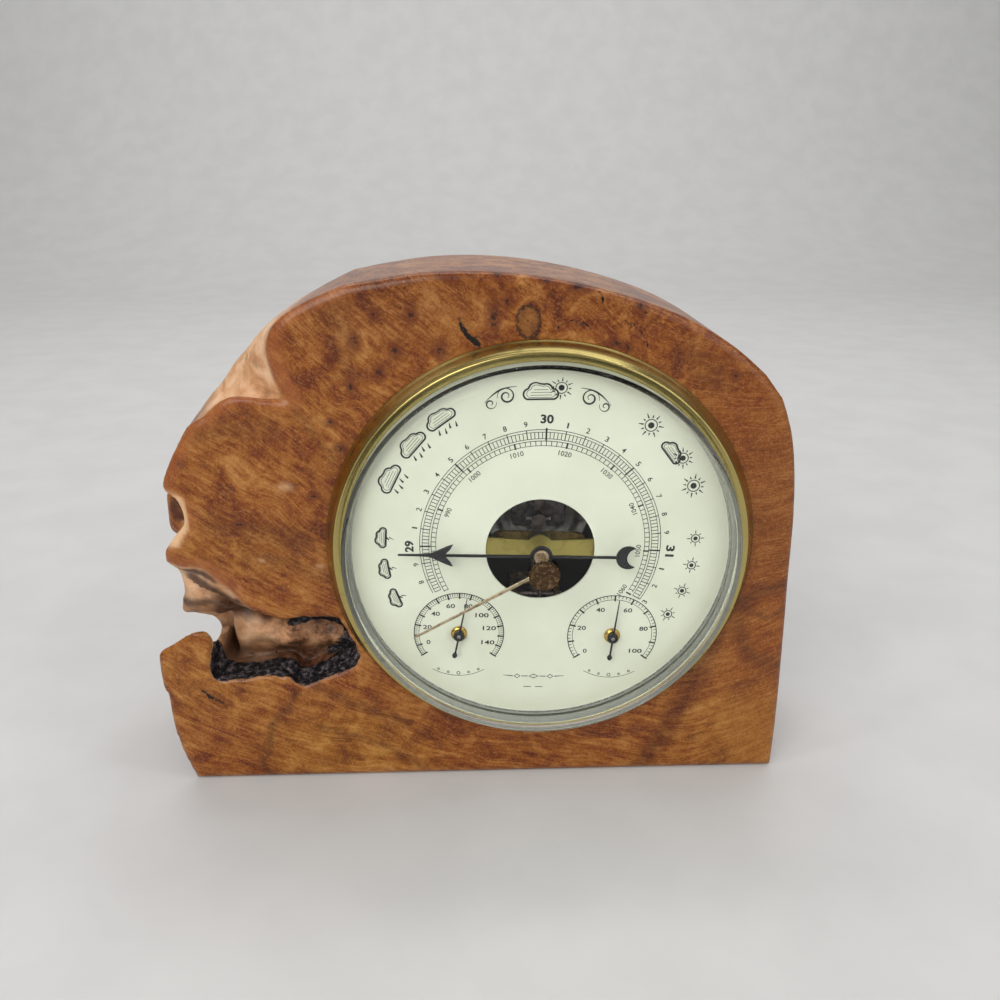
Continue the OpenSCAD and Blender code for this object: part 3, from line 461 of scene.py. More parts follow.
def surface_net(field, xs, ys, zs):
    """The surface where the field is zero: one point in each cell it passes through."""
    inside = field < 0
    shape = tuple(n - 1 for n in field.shape)
    total, count = np.zeros(shape + (3,)), np.zeros(shape)
    corners = [(a, b, c) for a in (0, 1) for b in (0, 1) for c in (0, 1)]

    def corner(values, o):
        return values[o[0]:o[0] + shape[0], o[1]:o[1] + shape[1], o[2]:o[2] + shape[2]]

    for o in corners:
        for axis in range(3):
            if o[axis]:
                continue
            q = list(o)
            q[axis] = 1
            fa, fb = corner(field, o), corner(field, q)
            hit = corner(inside, o) != corner(inside, q)
            t = np.where(hit, fa / np.where(hit, fa - fb, 1), 0)
            for k in range(3):
                total[..., k] += hit * (o[k] + (t if k == axis else 0))
            count += hit
    cells = count > 0
    index = np.full(shape, -1)
    index[cells] = np.arange(cells.sum())
    i, j, k = np.nonzero(cells)
    local = total[cells] / count[cells][:, None]
    step = xs[1] - xs[0]
    points = np.stack([xs[i], ys[j], zs[k]], 1) + local * step
    faces = []
    for axis in range(3):
        lo, hi = [slice(None)] * 3, [slice(None)] * 3
        lo[axis], hi[axis] = slice(0, -1), slice(1, None)
        change = np.argwhere(inside[tuple(lo)] != inside[tuple(hi)])
        flip = inside[tuple(lo)][tuple(change.T)]
        u, v = [(1, 2), (2, 0), (0, 1)][axis]
        ring = []
        for du, dv in ((1, 1), (0, 1), (0, 0), (1, 0)):
            cell = change.copy()
            cell[:, u] -= du
            cell[:, v] -= dv
            ring.append(index[tuple(cell.T)])
        quad = np.stack(ring, 1)
        quad[~flip] = quad[~flip][:, ::-1]
        faces.append(quad)
    return points, np.concatenate(faces)


def grain_lines(x, y, z):
    """Two numbers for each point: how far across the figure's lines it lies, and how far along.
    The lines slant down to the right, more so at the top, and turn up again on the right side."""
    slope = 0.72 + 0.0042 * z
    across = z + slope * (x + 100) - 0.012 * np.maximum(x - 30, 0) ** 2
    wave = 5 * (lumps(x, y, z, (30, 60, 26), 21) - 0.5) + 2.4 * (lumps(x, y, z, (10, 40, 9), 22) - 0.5)
    return across / 1.5 + wave + 0.12 * y, x - slope * z


# Marks of the wood on the front face, and spots of painted highlight: x and z from the arbor axis, then half
# width and half height.
# The highlight spots, GOLD and RED also give the strength of each.
EYES = [(-42, 83, 1.0, 1.5), (-47.5, 71.5, 1.2, 1.7), (-53, 64.5, 1.1, 1.4), (-60.5, 75, 1.1, 1.6),
        (-62.5, 60, 0.9, 1.7), (-53.5, 83, 0.9, 1.0), (-57.5, 89, 1.0, 0.9), (-67.5, 39, 1.3, 1.0),
        (-122, 34.5, 1.3, 1.0), (-11.5, 86.8, 0.9, 1.4), (-15.6, 82.0, 1.3, 3.2), (-14.6, 95.0, 1.2, 0.9),
        (-32.3, 95.0, 1.0, 0.8), (-28.3, 94.3, 1.0, 0.8), (-33, 71.7, 1.2, 1.8), (1.4, 92.8, 1.2, 0.8),
        (10.8, 91.0, 2.2, 1.1), (23.8, 72.8, 1.7, 1.1), (27.6, 71.8, 0.9, 1.0), (31, 84.8, 1.2, 1.5),
        (-77.8, 22, 1.2, 0.8), (-104, 12, 1.3, 0.9), (-70, 48, 1.0, 0.8), (64, 62, 1.0, 1.0)]
HIGHLIGHT_SPOTS = [(-87.1, 25.6, 4.2, 2.2, 0.45), (-77.8, -4.7, 2.4, 1.2, 0.45), (-98, -2, 1.8, 0.8, 0.45)]
# the pale ridge of the natural edge beside the small hollow, which gets a painted highlight
RIDGE = [(-124, 21), (-123.8, 13.7), (-127.2, 5.5)]
KNOT = (-4.6, 80.4, 3.8, 5.2)
# Cracks as rows of points, then half width
CRACKS = [([(-26.7, 81.8), (-26.1, 79.6)], 0.25), ([(-26.1, 79.6), (-25.2, 77.7)], 0.55),
          ([(-25.2, 77.7), (-24, 76)], 0.6), ([(-24, 76), (-20.8, 73.4)], 0.75),
          ([(-23, 76.2), (-19.4, 76)], 0.2),
          ([(4.2, 76.7), (5.4, 78.9), (8.6, 80.4), (12.4, 80.4), (15.7, 77.8)], 0.1),
          ([(25.2, 80.6), (29.8, 78.9), (32.9, 75.4), (34.1, 71.5)], 0.1),
          ([(17.9, 89.4), (18.9, 86.9), (18.3, 85.7)], 0.25),
          ([(32.4, 83.6), (34.3, 79.8), (38.1, 79.8)], 0.1),
          ([(-126.5, -54.6), (-122.5, -57.7), (-119.1, -60.5)], 0.3),
          ([(-119.1, -60.5), (-116.6, -64.6)], 0.1), ([(-124.9, -55.9), (-121.8, -61.3)], 0.1)]
# Stains as rows of points, then width and strength
STAINS = [([(-82.6, 55.2), (-76.9, 45.6), (-69.6, 33.2)], 3, 0.4),
          ([(76, -26), (84, -28.5), (92, -24)], 2.2, 0.6),
          ([(72, -23), (80, -17.5), (89.5, -15.5)], 4, 0.75), ([(70, -24), (75, -24)], 6, 0.6),
          ([(67, -27), (60, -54), (40, -95)], 8, 0.6), ([(73, -30), (78, -44), (93, -51)], 6, 0.5),
          ([(-91, -56.3), (-94, -62), (-101.5, -71), (-103.2, -80), (-107, -88), (-104, -93)], 2.6, 0.75),
          ([(-84, -54), (-70, -62), (-50, -72)], 4, 0.45), ([(-84, -72), (-62, -80), (-44, -92)], 3, 0.4),
          ([(-112, 12), (-84, 6)], 9, 0.42), ([(-124, 46), (-92, 46)], 8, 0.36),
          ([(-66, 84), (-64, 66)], 9, 0.3), ([(48, 70), (58, 60)], 10, 0.36),
          ([(-70, -12), (-86, -4), (-104, 0)], 5, 0.36)]
GOLD = [(84, -80, 44, 36, 1), (-74, -82, 48, 30, 1), (-120, -50, 30, 26, 0.6), (-104, 0, 36, 14, 0.45)]
RED = [(-55, 90, 62, 24, 1), (30, 94, 72, 18, 1), (84, 20, 26, 56, 1)]


def ellipse(x, z, cx, cz, w, h):
    """0 in the middle of an ellipse and 1 on its line."""
    return np.hypot((x - cx) / w, (z - cz) / h)


def blots(x, z, spots):
    """The strongest of some soft ellipses, each at its full strength in the middle and 0 at its edge."""
    return np.maximum.reduce([strength * step_up(1, 0.2, ellipse(x, z, *spot)) for *spot, strength in spots])


def strokes(x, z, table, full):
    """The strongest of some soft strokes, each at its full strength within a share of its width."""
    return np.maximum.reduce([strength * step_up(width, full * width, line_distance(x, z, row))
                              for row, width, strength in table])


def on_left(x, z):
    """1 on the side of the natural edge, and at the top only beyond a slanting line."""
    return step_up(-74, -84, x - 0.45 * np.maximum(z - 50, 0))


def wood_marks(x, z, depth):
    """The eyes, cracks, stains, coloured regions and painted highlights of the front, as one number each for
    every point.
    """
    behind = 0.25 * np.maximum(depth - 3, 0)
    eye = 0.82 * np.minimum.reduce([ellipse(x, z, *spot) for spot in EYES])
    crack = np.minimum.reduce([line_distance(x, z, row) - width for row, width in CRACKS])
    slanted = z - 0.2 * np.maximum(depth - 2, 0)
    # painted highlight: cream spots on the front and along the ridge by the small hollow
    light = np.maximum(blots(x, z, HIGHLIGHT_SPOTS), 0.9 * step_up(2.6, 0.8, line_distance(x, z, RIDGE)))
    near = {"eye": eye, "crack": crack, "knot": ellipse(x, z, *KNOT)}
    return {**{name: np.minimum(away + behind, 4) for name, away in near.items()},
            "stain": strokes(x, slanted, STAINS, 0) * (1 - 0.5 * step_up(4, 24, depth)),
            "gold": blots(x, z, GOLD), "red": blots(x, z, RED), "light": light * step_up(6, 3, depth)}


def wood_layers(x, y, z):
    """Masks from 0 to 1 for what the wood shows at each point, painted shade among them, and the numbers that
    wood_marks gives, a painted highlight among those.
    """
    front = outline_distance(x, z, outline(0))
    closed = outline_distance(x, z, outline(12, False))
    depth = y + DIAL_SINK
    r = np.hypot(x, z)
    left = on_left(x, z)
    before_back = step_up(57, 54.5, depth)
    broken = left * step_up(1.6, 3, depth) * before_back
    below = step_up(-1, -3, closed) * step_up(1, -1, z) * before_back
    in_wall = below * step_up(-1.6, -0.6, front) * step_up(0.6, 1.5, depth)
    behind = step_up(-2, -4, closed) * step_up(1.5, 3, depth) * step_up(50, 46, depth) * step_up(-62, -64, x)
    behind = behind * step_up(-2, -5, z) * step_up(-54, -46, z + 0.2 * depth) * step_up(73, 75, r)
    in_wall = np.maximum(in_wall, behind)
    in_pocket = below * step_up(0.5, 1.8, front) * step_up(0.4, 1.6, depth)
    in_lip = step_up(-116, -120, x) * step_up(0.5, 2, front) * before_back
    in_lip = in_lip * step_up(1, -1, z) * step_up(-44, -41, z)
    # pale wood shows where the edge was broken: at the upper left, round the small hollow and in the lip
    patch = np.exp(-((x + 100) / 18) ** 6 - ((z - 64 - 0.5 * (x + 100)) / 18) ** 6)
    notch = step_up(-121, -123, x) * step_up(2, 5, z) * step_up(26, 22, z) * step_up(6, 4, depth)
    notch = notch * step_up(-3.2, -1.4, front)
    # painted shade: darker in the small hollow and behind the notch, along the lip's strokes, deeper in the
    # pocket, under the overhanging edge and at the foot of the pocket's wall
    hollow_shade = step_up(3.9, 3.2, capsule_distance(x, y, z, *HOLLOW)[0]) + notch * step_up(4.5, 6, depth)
    recess_shade = strokes(x, z, LIP_SHADES, 0.2) * step_up(28, 12, depth) + 0.5 * step_up(9, 20, depth)
    recess_shade = recess_shade + 0.5 * step_up(5, 0, front) * step_up(-40, -30, z)
    shade = [np.maximum(in_pocket, in_lip) * np.clip(recess_shade, 0, 1), 0.8 * np.clip(hollow_shade, 0, 1),
             0.85 * in_wall * step_up(-42, -47, z)]
    return {
        "pale": np.maximum.reduce([broken * patch, notch, in_pocket, in_lip, 0.95 * in_wall]),
        "bark": bark_on(x, y, z) * in_wall,
        "log": in_wall * (0.3 + 0.7 * step_up(-108, -92, x)) * step_up(-14, -20, z),
        "shade": np.maximum.reduce(shade),
        # the eased edge on the natural side: a redder band, partly redder wood and partly a painted sheen of
        # the rounding
        "edge": step_up(5.5, 1.5, -front) * step_up(3, 1.2, depth) * left * step_up(-24, -10, z),
        "plain": step_up(46, 74, x + 0.15 * z) * step_up(90, 60, z),
        "cloudy": step_up(-44, -10, x) * step_up(30, 60, z),
        "inside": step_up(71, 69, r) * before_back,
        **wood_marks(x, z, depth),
    }


def burl_block():
    xs, ys, zs = (np.arange(*ends, GRID) for ends in (GRID_X, GRID_Y, GRID_Z))
    points, quads = surface_net(burl_field(xs, ys, zs), xs, ys, zs)
    x, y, z = points.T
    obj = add_mesh("burl", upright(points), quads.tolist())
    for name, values in wood_layers(x, y, z).items():
        layer = obj.data.attributes.new(name, "FLOAT", "POINT")
        layer.data.foreach_set("value", values.astype(np.float32))
    grain = np.stack([*grain_lines(x, y, z), y], 1).astype(np.float32)
    obj.data.attributes.new("grain", "FLOAT_VECTOR", "POINT").data.foreach_set("vector", grain.ravel())
    return obj


# Bezel, crystal and hands
CRYSTAL_R, CRYSTAL_T, CROWN, SHOULDER, FLANGE_R = 68.6, 1.6, 19.6, 12.8, 70.2
HAND_OUT, HAND_HALF = 5.5, 0.3  # the pressure hand's height over the dial and half its thickness
HAND_ANGLE, SET_ANGLE, THERMO_ANGLE, HYGRO_ANGLE = -90.3, -124, 10, 4.4
SMALL_X, SMALL_DROP = 28.2, 34.0
THERMO, HYGRO = (-SMALL_X, -SMALL_DROP), (SMALL_X, -SMALL_DROP)
KNOB_FRONT = -CROWN - 2.5
# Small turned pieces: the collar and the pin of a small dial
COLLAR = [(0.76, -1.3), (1.6, -1.34), (2.1, -1.3), (2.55, -1.08), (2.85, -0.72), (3.0, -0.3), (3.0, 0.0),
          (2.2, 0.0), (2.2, 2.2), (0.76, 2.2)]
PIN = [(0, -3.1), (0.45, -3.08), (0.65, -2.95), (0.7, -2.8), (0.7, 3.0), (1.2, 3.0), (1.2, 7.0),
       (0.7, 7.0), (0.7, 7.6), (0, 7.6)]


def bezel():
    """Spun brass ring: a rolled foot on the wood, a swelling outer slope, a crest and a flat inner band."""
    foot = arc((74.2, -1.75), 0.8, 90, -40, 7)
    swell = [(74.3, -2.75), (74.0, -3.5), (73.6, -4.3), (73.15, -5.1), (72.7, -5.85), (72.3, -6.4)]
    crest = arc((71.35, -6.75), 0.55, -10, -120, 7)
    band = [(70.6, -7.12), (69.6, -6.92), (69.0, -6.8), (68.8, -6.6)]
    inner = [(68.75, -3.0), (70.35, -3.0), (70.35, 5.0), (71.4, 5.0), (71.4, -1.0)]
    return turned("bezel", foot + swell + crest + band + inner, 256)


def crystal():
    """Domed mineral glass with an upright wall, a rounded shoulder and a thin flange under the bezel."""
    rise = (CRYSTAL_R ** 2 + (CROWN - SHOULDER) ** 2) / 2 / (CROWN - SHOULDER)

    def dome(radii, inset):
        return [(r, -CROWN + rise - math.sqrt((rise - inset) ** 2 - r * r)) for r in radii]

    hole, inner = 1.97, CRYSTAL_R - CRYSTAL_T
    outside = dome(np.linspace(hole, 66.2, 26), 0)
    shoulder = arc((66.6, -11.05), 2.0, -82, -4, 8)
    wall = [(CRYSTAL_R, -10.6), (CRYSTAL_R, -3.0), (FLANGE_R, -3.0), (FLANGE_R, -0.6), (inner, -0.6),
            (inner, -9.6)]
    bend = arc((66.2, -10.2), 0.8, 0, -80, 6)
    inside = dome(np.linspace(65.6, hole, 26), CRYSTAL_T)
    return turned("crystal_dome", outside + shoulder + wall + bend + inside, 256)


def both_sides(half):
    """A flat outline from the points of its left half, which run from one end to the other."""
    return half + [(-x, z) for x, z in reversed(half)]


def crescent(outer_r, outer_z, inner_r, inner_z):
    """The hand's flat crescent between two circles on its line; its horns are where the circles cross."""
    gap = outer_z - inner_z
    meet = (outer_r ** 2 - inner_r ** 2 + gap ** 2) / (2 * gap)
    outer_end = math.acos(-meet / outer_r)
    inner_end = math.acos((gap - meet) / inner_r)
    front, back = -HAND_OUT - HAND_HALF, -HAND_OUT + HAND_HALF
    rings = []
    for share in np.linspace(-0.985, 0.985, 40):
        outer = polar(outer_r, outer_end * share, (0, outer_z))
        inner = polar(inner_r, inner_end * share, (0, inner_z))
        across = [rolled(*place, math.radians(HAND_ANGLE)) for place in (outer, inner)]
        rings.append(at_depth(across, front) + at_depth(across[::-1], back))
    return capped("crescent", rings)


def pressure_hand():
    """Blued-black hand: a rod with a barbed arrowhead one way and a crescent the other."""
    rod = [(-0.5, -26.8), (-0.5, 3.4), (-0.5, 33.2), (-0.9, 32.9), (-2.4, 31.6), (-4.15, 30.7), (-3.9, 31.6),
           (-3.3, 33.1), (-2.5, 34.8), (-1.6, 36.6), (-0.95, 38.0), (-0.6, 39.2), (-0.42, 41.5), (-0.3, 49.7)]
    hub = [(1.45, HAND_HALF), (4.0, HAND_HALF), (4.0, -0.12), (3.85, -HAND_HALF), (1.45, -HAND_HALF)]
    return joined("pressure_hand", [
        plate("rod", both_sides(rod), -HAND_OUT - HAND_HALF, -HAND_OUT + HAND_HALF, 0.12, HAND_ANGLE),
        crescent(4.3, -30.4, 3.6, -33.6), turned("hub", moved(hub, -HAND_OUT), 96)])


def hand_boss():
    """The little brass boss with a pin hole that holds the hand on its arbor."""
    profile = [(0.42, -0.35), (0.42, -0.78), (0.6, -0.9), (2.0, -0.9), (2.45, -0.78), (2.66, -0.5),
               (2.7, -0.2), (2.7, 0.0), (1.4, 0.0), (1.4, 2.3), (0.82, 2.3), (0.82, -0.35)]
    return turned("hand_boss", moved(profile, -HAND_OUT - HAND_HALF), 96)


def set_hand():
    """A slim flat rod that runs down under the dome from the knob's spindle to near the dial's edge."""
    hub_y, tip_y = -CROWN + CRYSTAL_T + 0.6, -SHOULDER + 1.3
    rings = []
    for r, half in ((1.2, 0.68), (6, 0.64), (30, 0.52), (51.5, 0.4), (52.6, 0.3), (53.0, 0.12)):
        y = hub_y + 0.55 + (tip_y - hub_y - 0.25) * r / 53
        section = [(-half, 0.18), (-half, -0.12), (-half + 0.14, -0.27), (half - 0.14, -0.27), (half, -0.12),
                   (half, 0.18), (half - 0.1, 0.26), (-half + 0.1, 0.26)]
        ring = []
        for x, dy in section:
            ring += at_depth([rolled(x, r, math.radians(SET_ANGLE))], y + dy)
        rings.append(ring)
    hub = [(0.95, 0), (1.9, 0), (2.1, 0.15), (2.2, 0.4), (2.2, 1.0), (2.05, 1.2), (0.95, 1.2)]
    return joined("set_hand", [capped("rod", rings), turned("hub", moved(hub, hub_y), 96)])


def small_hand(name, angle, centre):
    """A needle with a round black hub and a spade on its tail."""
    needle = [(-0.32, -6.6), (-0.36, -1), (-0.3, 5), (-0.13, 15.6)]
    spade = [(-0.35, -9.2), (-0.85, -8.5), (-0.95, -8.0), (-0.8, -7.5), (-0.42, -7.0), (-0.3, -6.4)]
    hub = [(0.72, -1.95), (2.05, -1.95), (2.05, -2.55), (1.85, -2.8), (1.0, -2.82), (0.72, -2.8)]
    flat = [plate("flat", both_sides(half), -2.6, -2.2, 0.05, angle, centre) for half in (needle, spade)]
    return joined(name, flat + [turned("hub", hub, 64, centre)])


def repeated(name, n, values, matrix):
    """The mesh that a Geometry Nodes tree makes from the given inputs, as a plain object."""
    holder = linked(name, bpy.data.meshes.new(name))
    modifier = holder.modifiers.new("tree", "NODES")
    modifier.node_group = n.tree
    sockets = {s.name: s.identifier for s in n.tree.interface.items_tree if s.in_out == "INPUT"}
    for key, value in values.items():
        modifier[sockets[key]] = value
    holder.update_tag()
    bpy.context.view_layer.update()
    mesh = bpy.data.meshes.new_from_object(holder.evaluated_get(bpy.context.evaluated_depsgraph_get()))
    holder.modifiers.remove(modifier)
    holder.data = mesh
    mesh.transform(matrix)
    return holder


def copies_tree(name, sizes):
    """A Geometry Nodes tree that makes copies of something, with inputs for its sizes."""
    inputs = [("Count", "Int"), ("Finish", "Material"), ("Centre", "Vector")]
    inputs += [(size, "Float") for size in sizes]
    n, given, out = group(name, inputs, [("Geometry", "Geometry")], "GeometryNodeTree")
    n.tree.is_modifier = True
    return n, given, out, n.add("GeometryNodeInputIndex")[0]


def set_round(n, given, out, angle, radius, piece):
    """Ends the tree with copies of a piece round the y axis, each turned to face outwards."""
    x, z = (n.calc("MULTIPLY", radius, n.calc(way, angle)) for way in ("SINE", "COSINE"))
    place = n.vector("ADD", n.add("ShaderNodeCombineXYZ", {0: x, 2: z})[0], given["Centre"])
    points = n.add("GeometryNodePoints", {"Count": given["Count"], "Position": place})[0]
    turn = n.add("ShaderNodeCombineXYZ", {1: angle})[0]
    copies = n.add("GeometryNodeInstanceOnPoints", {"Points": points, "Instance": piece, "Rotation": turn})[0]
    real = n.add("GeometryNodeRealizeInstances", {0: copies})[0]
    n.put(n.add("GeometryNodeSetMaterial", {"Geometry": real, "Material": given["Finish"]})[0], out[0])
    return n


def marks_tree():
    """Flat marks of one size, standing along the radius at even steps round an arc."""
    n, given, out, index = copies_tree("marks_round_an_arc", [
        "Inner radius", "Outer radius", "Width", "Thickness", "First angle", "Last angle"])
    inner, outer, first = given["Inner radius"], given["Outer radius"], given["First angle"]
    share = n.calc("DIVIDE", index, n.calc("MAXIMUM", n.calc("SUBTRACT", given["Count"], 1.0), 1.0))
    angle = n.calc("MULTIPLY_ADD", share, n.calc("SUBTRACT", given["Last angle"], first), first)
    middle = n.calc("MULTIPLY", n.calc("ADD", inner, outer), 0.5)
    size = n.add("ShaderNodeCombineXYZ", {
        0: given["Width"], 1: given["Thickness"], 2: n.calc("SUBTRACT", outer, inner)})[0]
    return set_round(n, given, out, angle, middle, n.add("GeometryNodeMeshCube", {"Size": size})[0])


def knurl_tree():
    """Rounded ribs side by side round the rim of a knob."""
    n, given, out, index = copies_tree("ribs_round_a_knob", ["Rim radius", "Rib radius", "Height"])
    angle = n.calc("MULTIPLY", n.calc("DIVIDE", index, given["Count"]), 2 * math.pi)
    rib = n.add("GeometryNodeMeshCylinder", {
        "Vertices": 14, "Radius": given["Rib radius"], "Depth": given["Height"]})[0]
    lying = n.add("GeometryNodeTransform", {"Geometry": rib, "Rotation": (math.pi / 2, 0, 0)})[0]
    return set_round(n, given, out, angle, given["Rim radius"], lying)


def set_knob(finish):
    """Knurled knob: ribs round the rim, a chamfered face with two shallow turned rings and a low middle."""
    ribs = repeated("ribs", knurl_tree(), {
        "Count": 24, "Rim radius": 4.72 * MM, "Rib radius": 0.54 * MM, "Height": 1.5 * MM, "Finish": finish},
        DIAL @ Matrix.Translation((0, (KNOB_FRONT + 1.15) * MM, 0)))
    profile = [(0, 0.45), (0.9, 0.42), (1.5, 0.2), (2.0, 0.12), (2.5, 0.25), (3.0, 0.08), (3.7, 0.02),
               (4.35, 0.08), (4.75, 0.3), (4.85, 0.6), (4.85, 1.9), (4.6, 2.2), (0.95, 2.2), (0.95, 0.9),
               (0, 0.9)]
    return joined("set_knob", [ribs, turned("disc", moved(profile, KNOB_FRONT), 144)])


# Dial print, 0.03 mm thick on the dial's face
SCALE_R, SCALE_RISE, INK = 42.3, 1.8, 0.03
INCH_STEP, MB_PER_INCH = 91.58, 33.8639
SCALE_FIRST, SCALE_LAST = -1.28 * INCH_STEP, 1.3 * INCH_STEP
# Each small dial: centre, number at the top, degrees a unit, units each way, inner radius of thin marks
SMALL_DIALS = ((THERMO, 70, 1.5625, 80, 15.2), (HYGRO, 50, 2.51, 50, 15.3))


def on_scale(radius, angle):
    """The place at a share of the scale's radius and at an angle in degrees."""
    return polar(radius * SCALE_R, math.radians(angle), (0, SCALE_RISE))


def of_pressure(mb):
    """The scale's angle for a pressure in millibars."""
    return (mb / MB_PER_INCH - 30) * INCH_STEP


class Ink:
    """Collects pen lines and turns them into one mesh."""

    def __init__(self):
        self.points, self.faces = [], []

    def line(self, points, width, closed=False):
        """A pen line through the points; width is one number or one for each point."""
        p = np.array(points, float)
        n, k = len(p), len(self.points)
        half = np.broadcast_to(np.asarray(width, float), (n,)) / 2
        along = np.roll(p, -1, 0) - np.roll(p, 1, 0) if closed else np.gradient(p, axis=0)
        along /= np.maximum(np.linalg.norm(along, axis=1)[:, None], 1e-9)
        side = np.stack([-along[:, 1], along[:, 0]], 1) * half[:, None]
        for row, y in ((p + side, -INK), (p - side, -INK), (p - side, 0.0), (p + side, 0.0)):
            self.points += at_depth(row, y)
        for i in range(n if closed else n - 1):
            j = (i + 1) % n
            for a, b in ((0, n), (n, 2 * n), (2 * n, 3 * n), (3 * n, 0)):
                self.faces.append([k + a + i, k + a + j, k + b + j, k + b + i])
        if not closed:
            self.faces += [[k + row * n + i for row in range(4)] for i in (0, n - 1)]

    def mesh(self, name):
        return add_mesh(name, on_dial(self.points), self.faces, False)


def round_points(radius, start, end, centre=(0, 0)):
    """Points of an arc, by angles clockwise from the top."""
    steps = max(3, int(abs(end - start) / 1.5) + 1)
    return [polar(radius, a, centre) for a in np.radians(np.linspace(start, end, steps))]


def number_mesh(body, height, width, place, angle, weight):
    """A number in the plain built-in type, fitted to a height and a width, at a place on the dial."""
    curve = bpy.data.curves.new("number", "FONT")
    curve.body, curve.size, curve.offset = body, 1.0, weight
    curve.align_x, curve.extrude, curve.resolution_u = "CENTER", 0.1, 3
    obj = linked("number", curve)
    bpy.context.view_layer.update()
    mesh = bpy.data.meshes.new_from_object(obj.evaluated_get(bpy.context.evaluated_depsgraph_get()))
    bpy.data.objects.remove(obj)
    bpy.data.curves.remove(curve)
    co = np.empty(len(mesh.vertices) * 3)
    mesh.vertices.foreach_get("co", co)
    co = co.reshape(-1, 3)
    low, high = co.min(0), co.max(0)
    co = (co - (low + high) / 2) / (high - low)
    x, z = rolled(co[:, 0] * width, co[:, 1] * height, math.radians(angle), place)
    mesh.vertices.foreach_set("co", on_dial(np.stack([x, -INK / 2 - co[:, 2] * INK, z], 1)).ravel())
    mesh.update()
    return linked("number", mesh)


def scale_numbers():
    made = []
    for tenth in range(-12, 14):
        angle = tenth / 10 * INCH_STEP
        if tenth % 10 == 0:
            made.append(number_mesh(str(30 + tenth // 10), 3.15, 4.4, on_scale(1.092, angle), angle, 0.035))
            continue
        wide = 0.55 if tenth % 10 == 1 else 1.25
        turn = angle + (180 if tenth <= -12 or tenth >= 11 else 0)
        made.append(number_mesh(str(tenth % 10), 1.9, wide, on_scale(1.055, angle), turn, 0.012))
    for mb in range(990, 1070, 10):
        angle, wide = of_pressure(mb), 3.5 if mb < 1000 else 4.5
        turn = angle + (180 if mb >= 1040 else 0)
        made.append(number_mesh(str(mb), 1.8, wide, on_scale(0.822, angle), turn, 0.008))
    for centre, top, per, _, _ in SMALL_DIALS:
        for value in range(0, 2 * top + 1, 20):
            digits = len(str(value))
            x, z = polar(11.6 if digits < 3 else 11.1, math.radians((value - top) * per))
            place = (centre[0] + x * 1.02, centre[1] + z)
            made.append(number_mesh(str(value), 1.75, 1.7 * digits - 0.25, place, 0, 0.018))
    return joined("scale_numbers", made)


def scale_lines(ink):
    """The thin round lines and end bars of the pressure scale and of both small dials."""
    for radius, width in ((1.0052, 0.24), (0.984, 0.2), (0.930, 0.2)):
        ink.line(round_points(radius * SCALE_R, SCALE_FIRST, SCALE_LAST, (0, SCALE_RISE)), width)
    for radius, width in ((0.9107, 0.24), (0.872, 0.2)):
        ink.line(round_points(radius * SCALE_R, SCALE_FIRST - 2.0, SCALE_LAST - 1.5, (0, SCALE_RISE)), width)
    for centre, _, per, half, _ in SMALL_DIALS:
        ink.line(round_points(16.4, -half * per, half * per, centre), 0.34)
        ink.line(round_points(14.7, -half * per, half * per, centre), 0.2)
        for a in (-half * per, half * per):
            ink.line([polar(r, math.radians(a), centre) for r in (14.0, 17.0)], 0.36)


def scale_marks(finish):
    """All the division marks: rows of count, inner and outer radius, width, first and last angle."""
    big = [(130, 0.930, 0.984, 0.26, SCALE_FIRST, SCALE_LAST),
           (26, 0.930, 1.0052, 0.32, -1.2 * INCH_STEP, SCALE_LAST)]
    big += [(1, 0.915, 1.0052, 0.55, inch * INCH_STEP, inch * INCH_STEP) for inch in (-1, -0.5, 0.5, 1)]
    big += [(1, 0.915, 1.02, 0.6, 0, 0), (89, 0.872, 0.9107, 0.26, of_pressure(972), of_pressure(1060)),
            (9, 0.865, 0.915, 0.6, of_pressure(980), of_pressure(1060))]
    rows = [(*row, (0, SCALE_RISE), SCALE_R) for row in big]
    for centre, _, per, half, thin in SMALL_DIALS:
        rows.append((half // 5 + 1, 14.1, 16.4, 0.6, -half * per, half * per, centre, 1))
        rows.append((half + 1, thin, 16.4, 0.24, -half * per, half * per, centre, 1))
    tree = marks_tree()
    parts = []
    for count, inner, outer, width, first, last, centre, radius in rows:
        parts.append(repeated("marks", tree, {
            "Count": count, "Inner radius": inner * radius * MM, "Outer radius": outer * radius * MM,
            "Width": width * MM, "Thickness": INK * MM, "First angle": math.radians(first),
            "Last angle": math.radians(last), "Centre": (centre[0] * MM, -INK / 2 * MM, centre[1] * MM),
            "Finish": finish}, DIAL))
    return joined("scale_marks", parts)


def circle(radius, x=0, z=0, steps=40):
    return [polar(radius, 2 * math.pi * i / steps, (x, z)) for i in range(steps)]


def cloud():
    """A cloud's outline: a flat foot and four lobes."""
    lobes = [(-4.3, -0.3, 2.0, 200, 345), (-1.9, 1.5, 2.5, 285, 395), (1.9, 1.2, 2.2, -20, 75),
             (4.3, -0.4, 1.9, 10, 165)]
    return [polar(r, a, (x, z)) for x, z, r, a0, a1 in lobes for a in np.radians(np.linspace(a0, a1, 14))]


def scroll(turns, size, steps=60):
    """A pen flourish that winds in, thick in its middle."""
    t = np.linspace(0, 1, steps)
    a = 2 * math.pi * turns * t
    r = size * (1 - 0.82 * t)
    return np.stack([r * np.cos(a), r * np.sin(a)], 1), 0.14 + 0.3 * np.sin(math.pi * t) ** 2


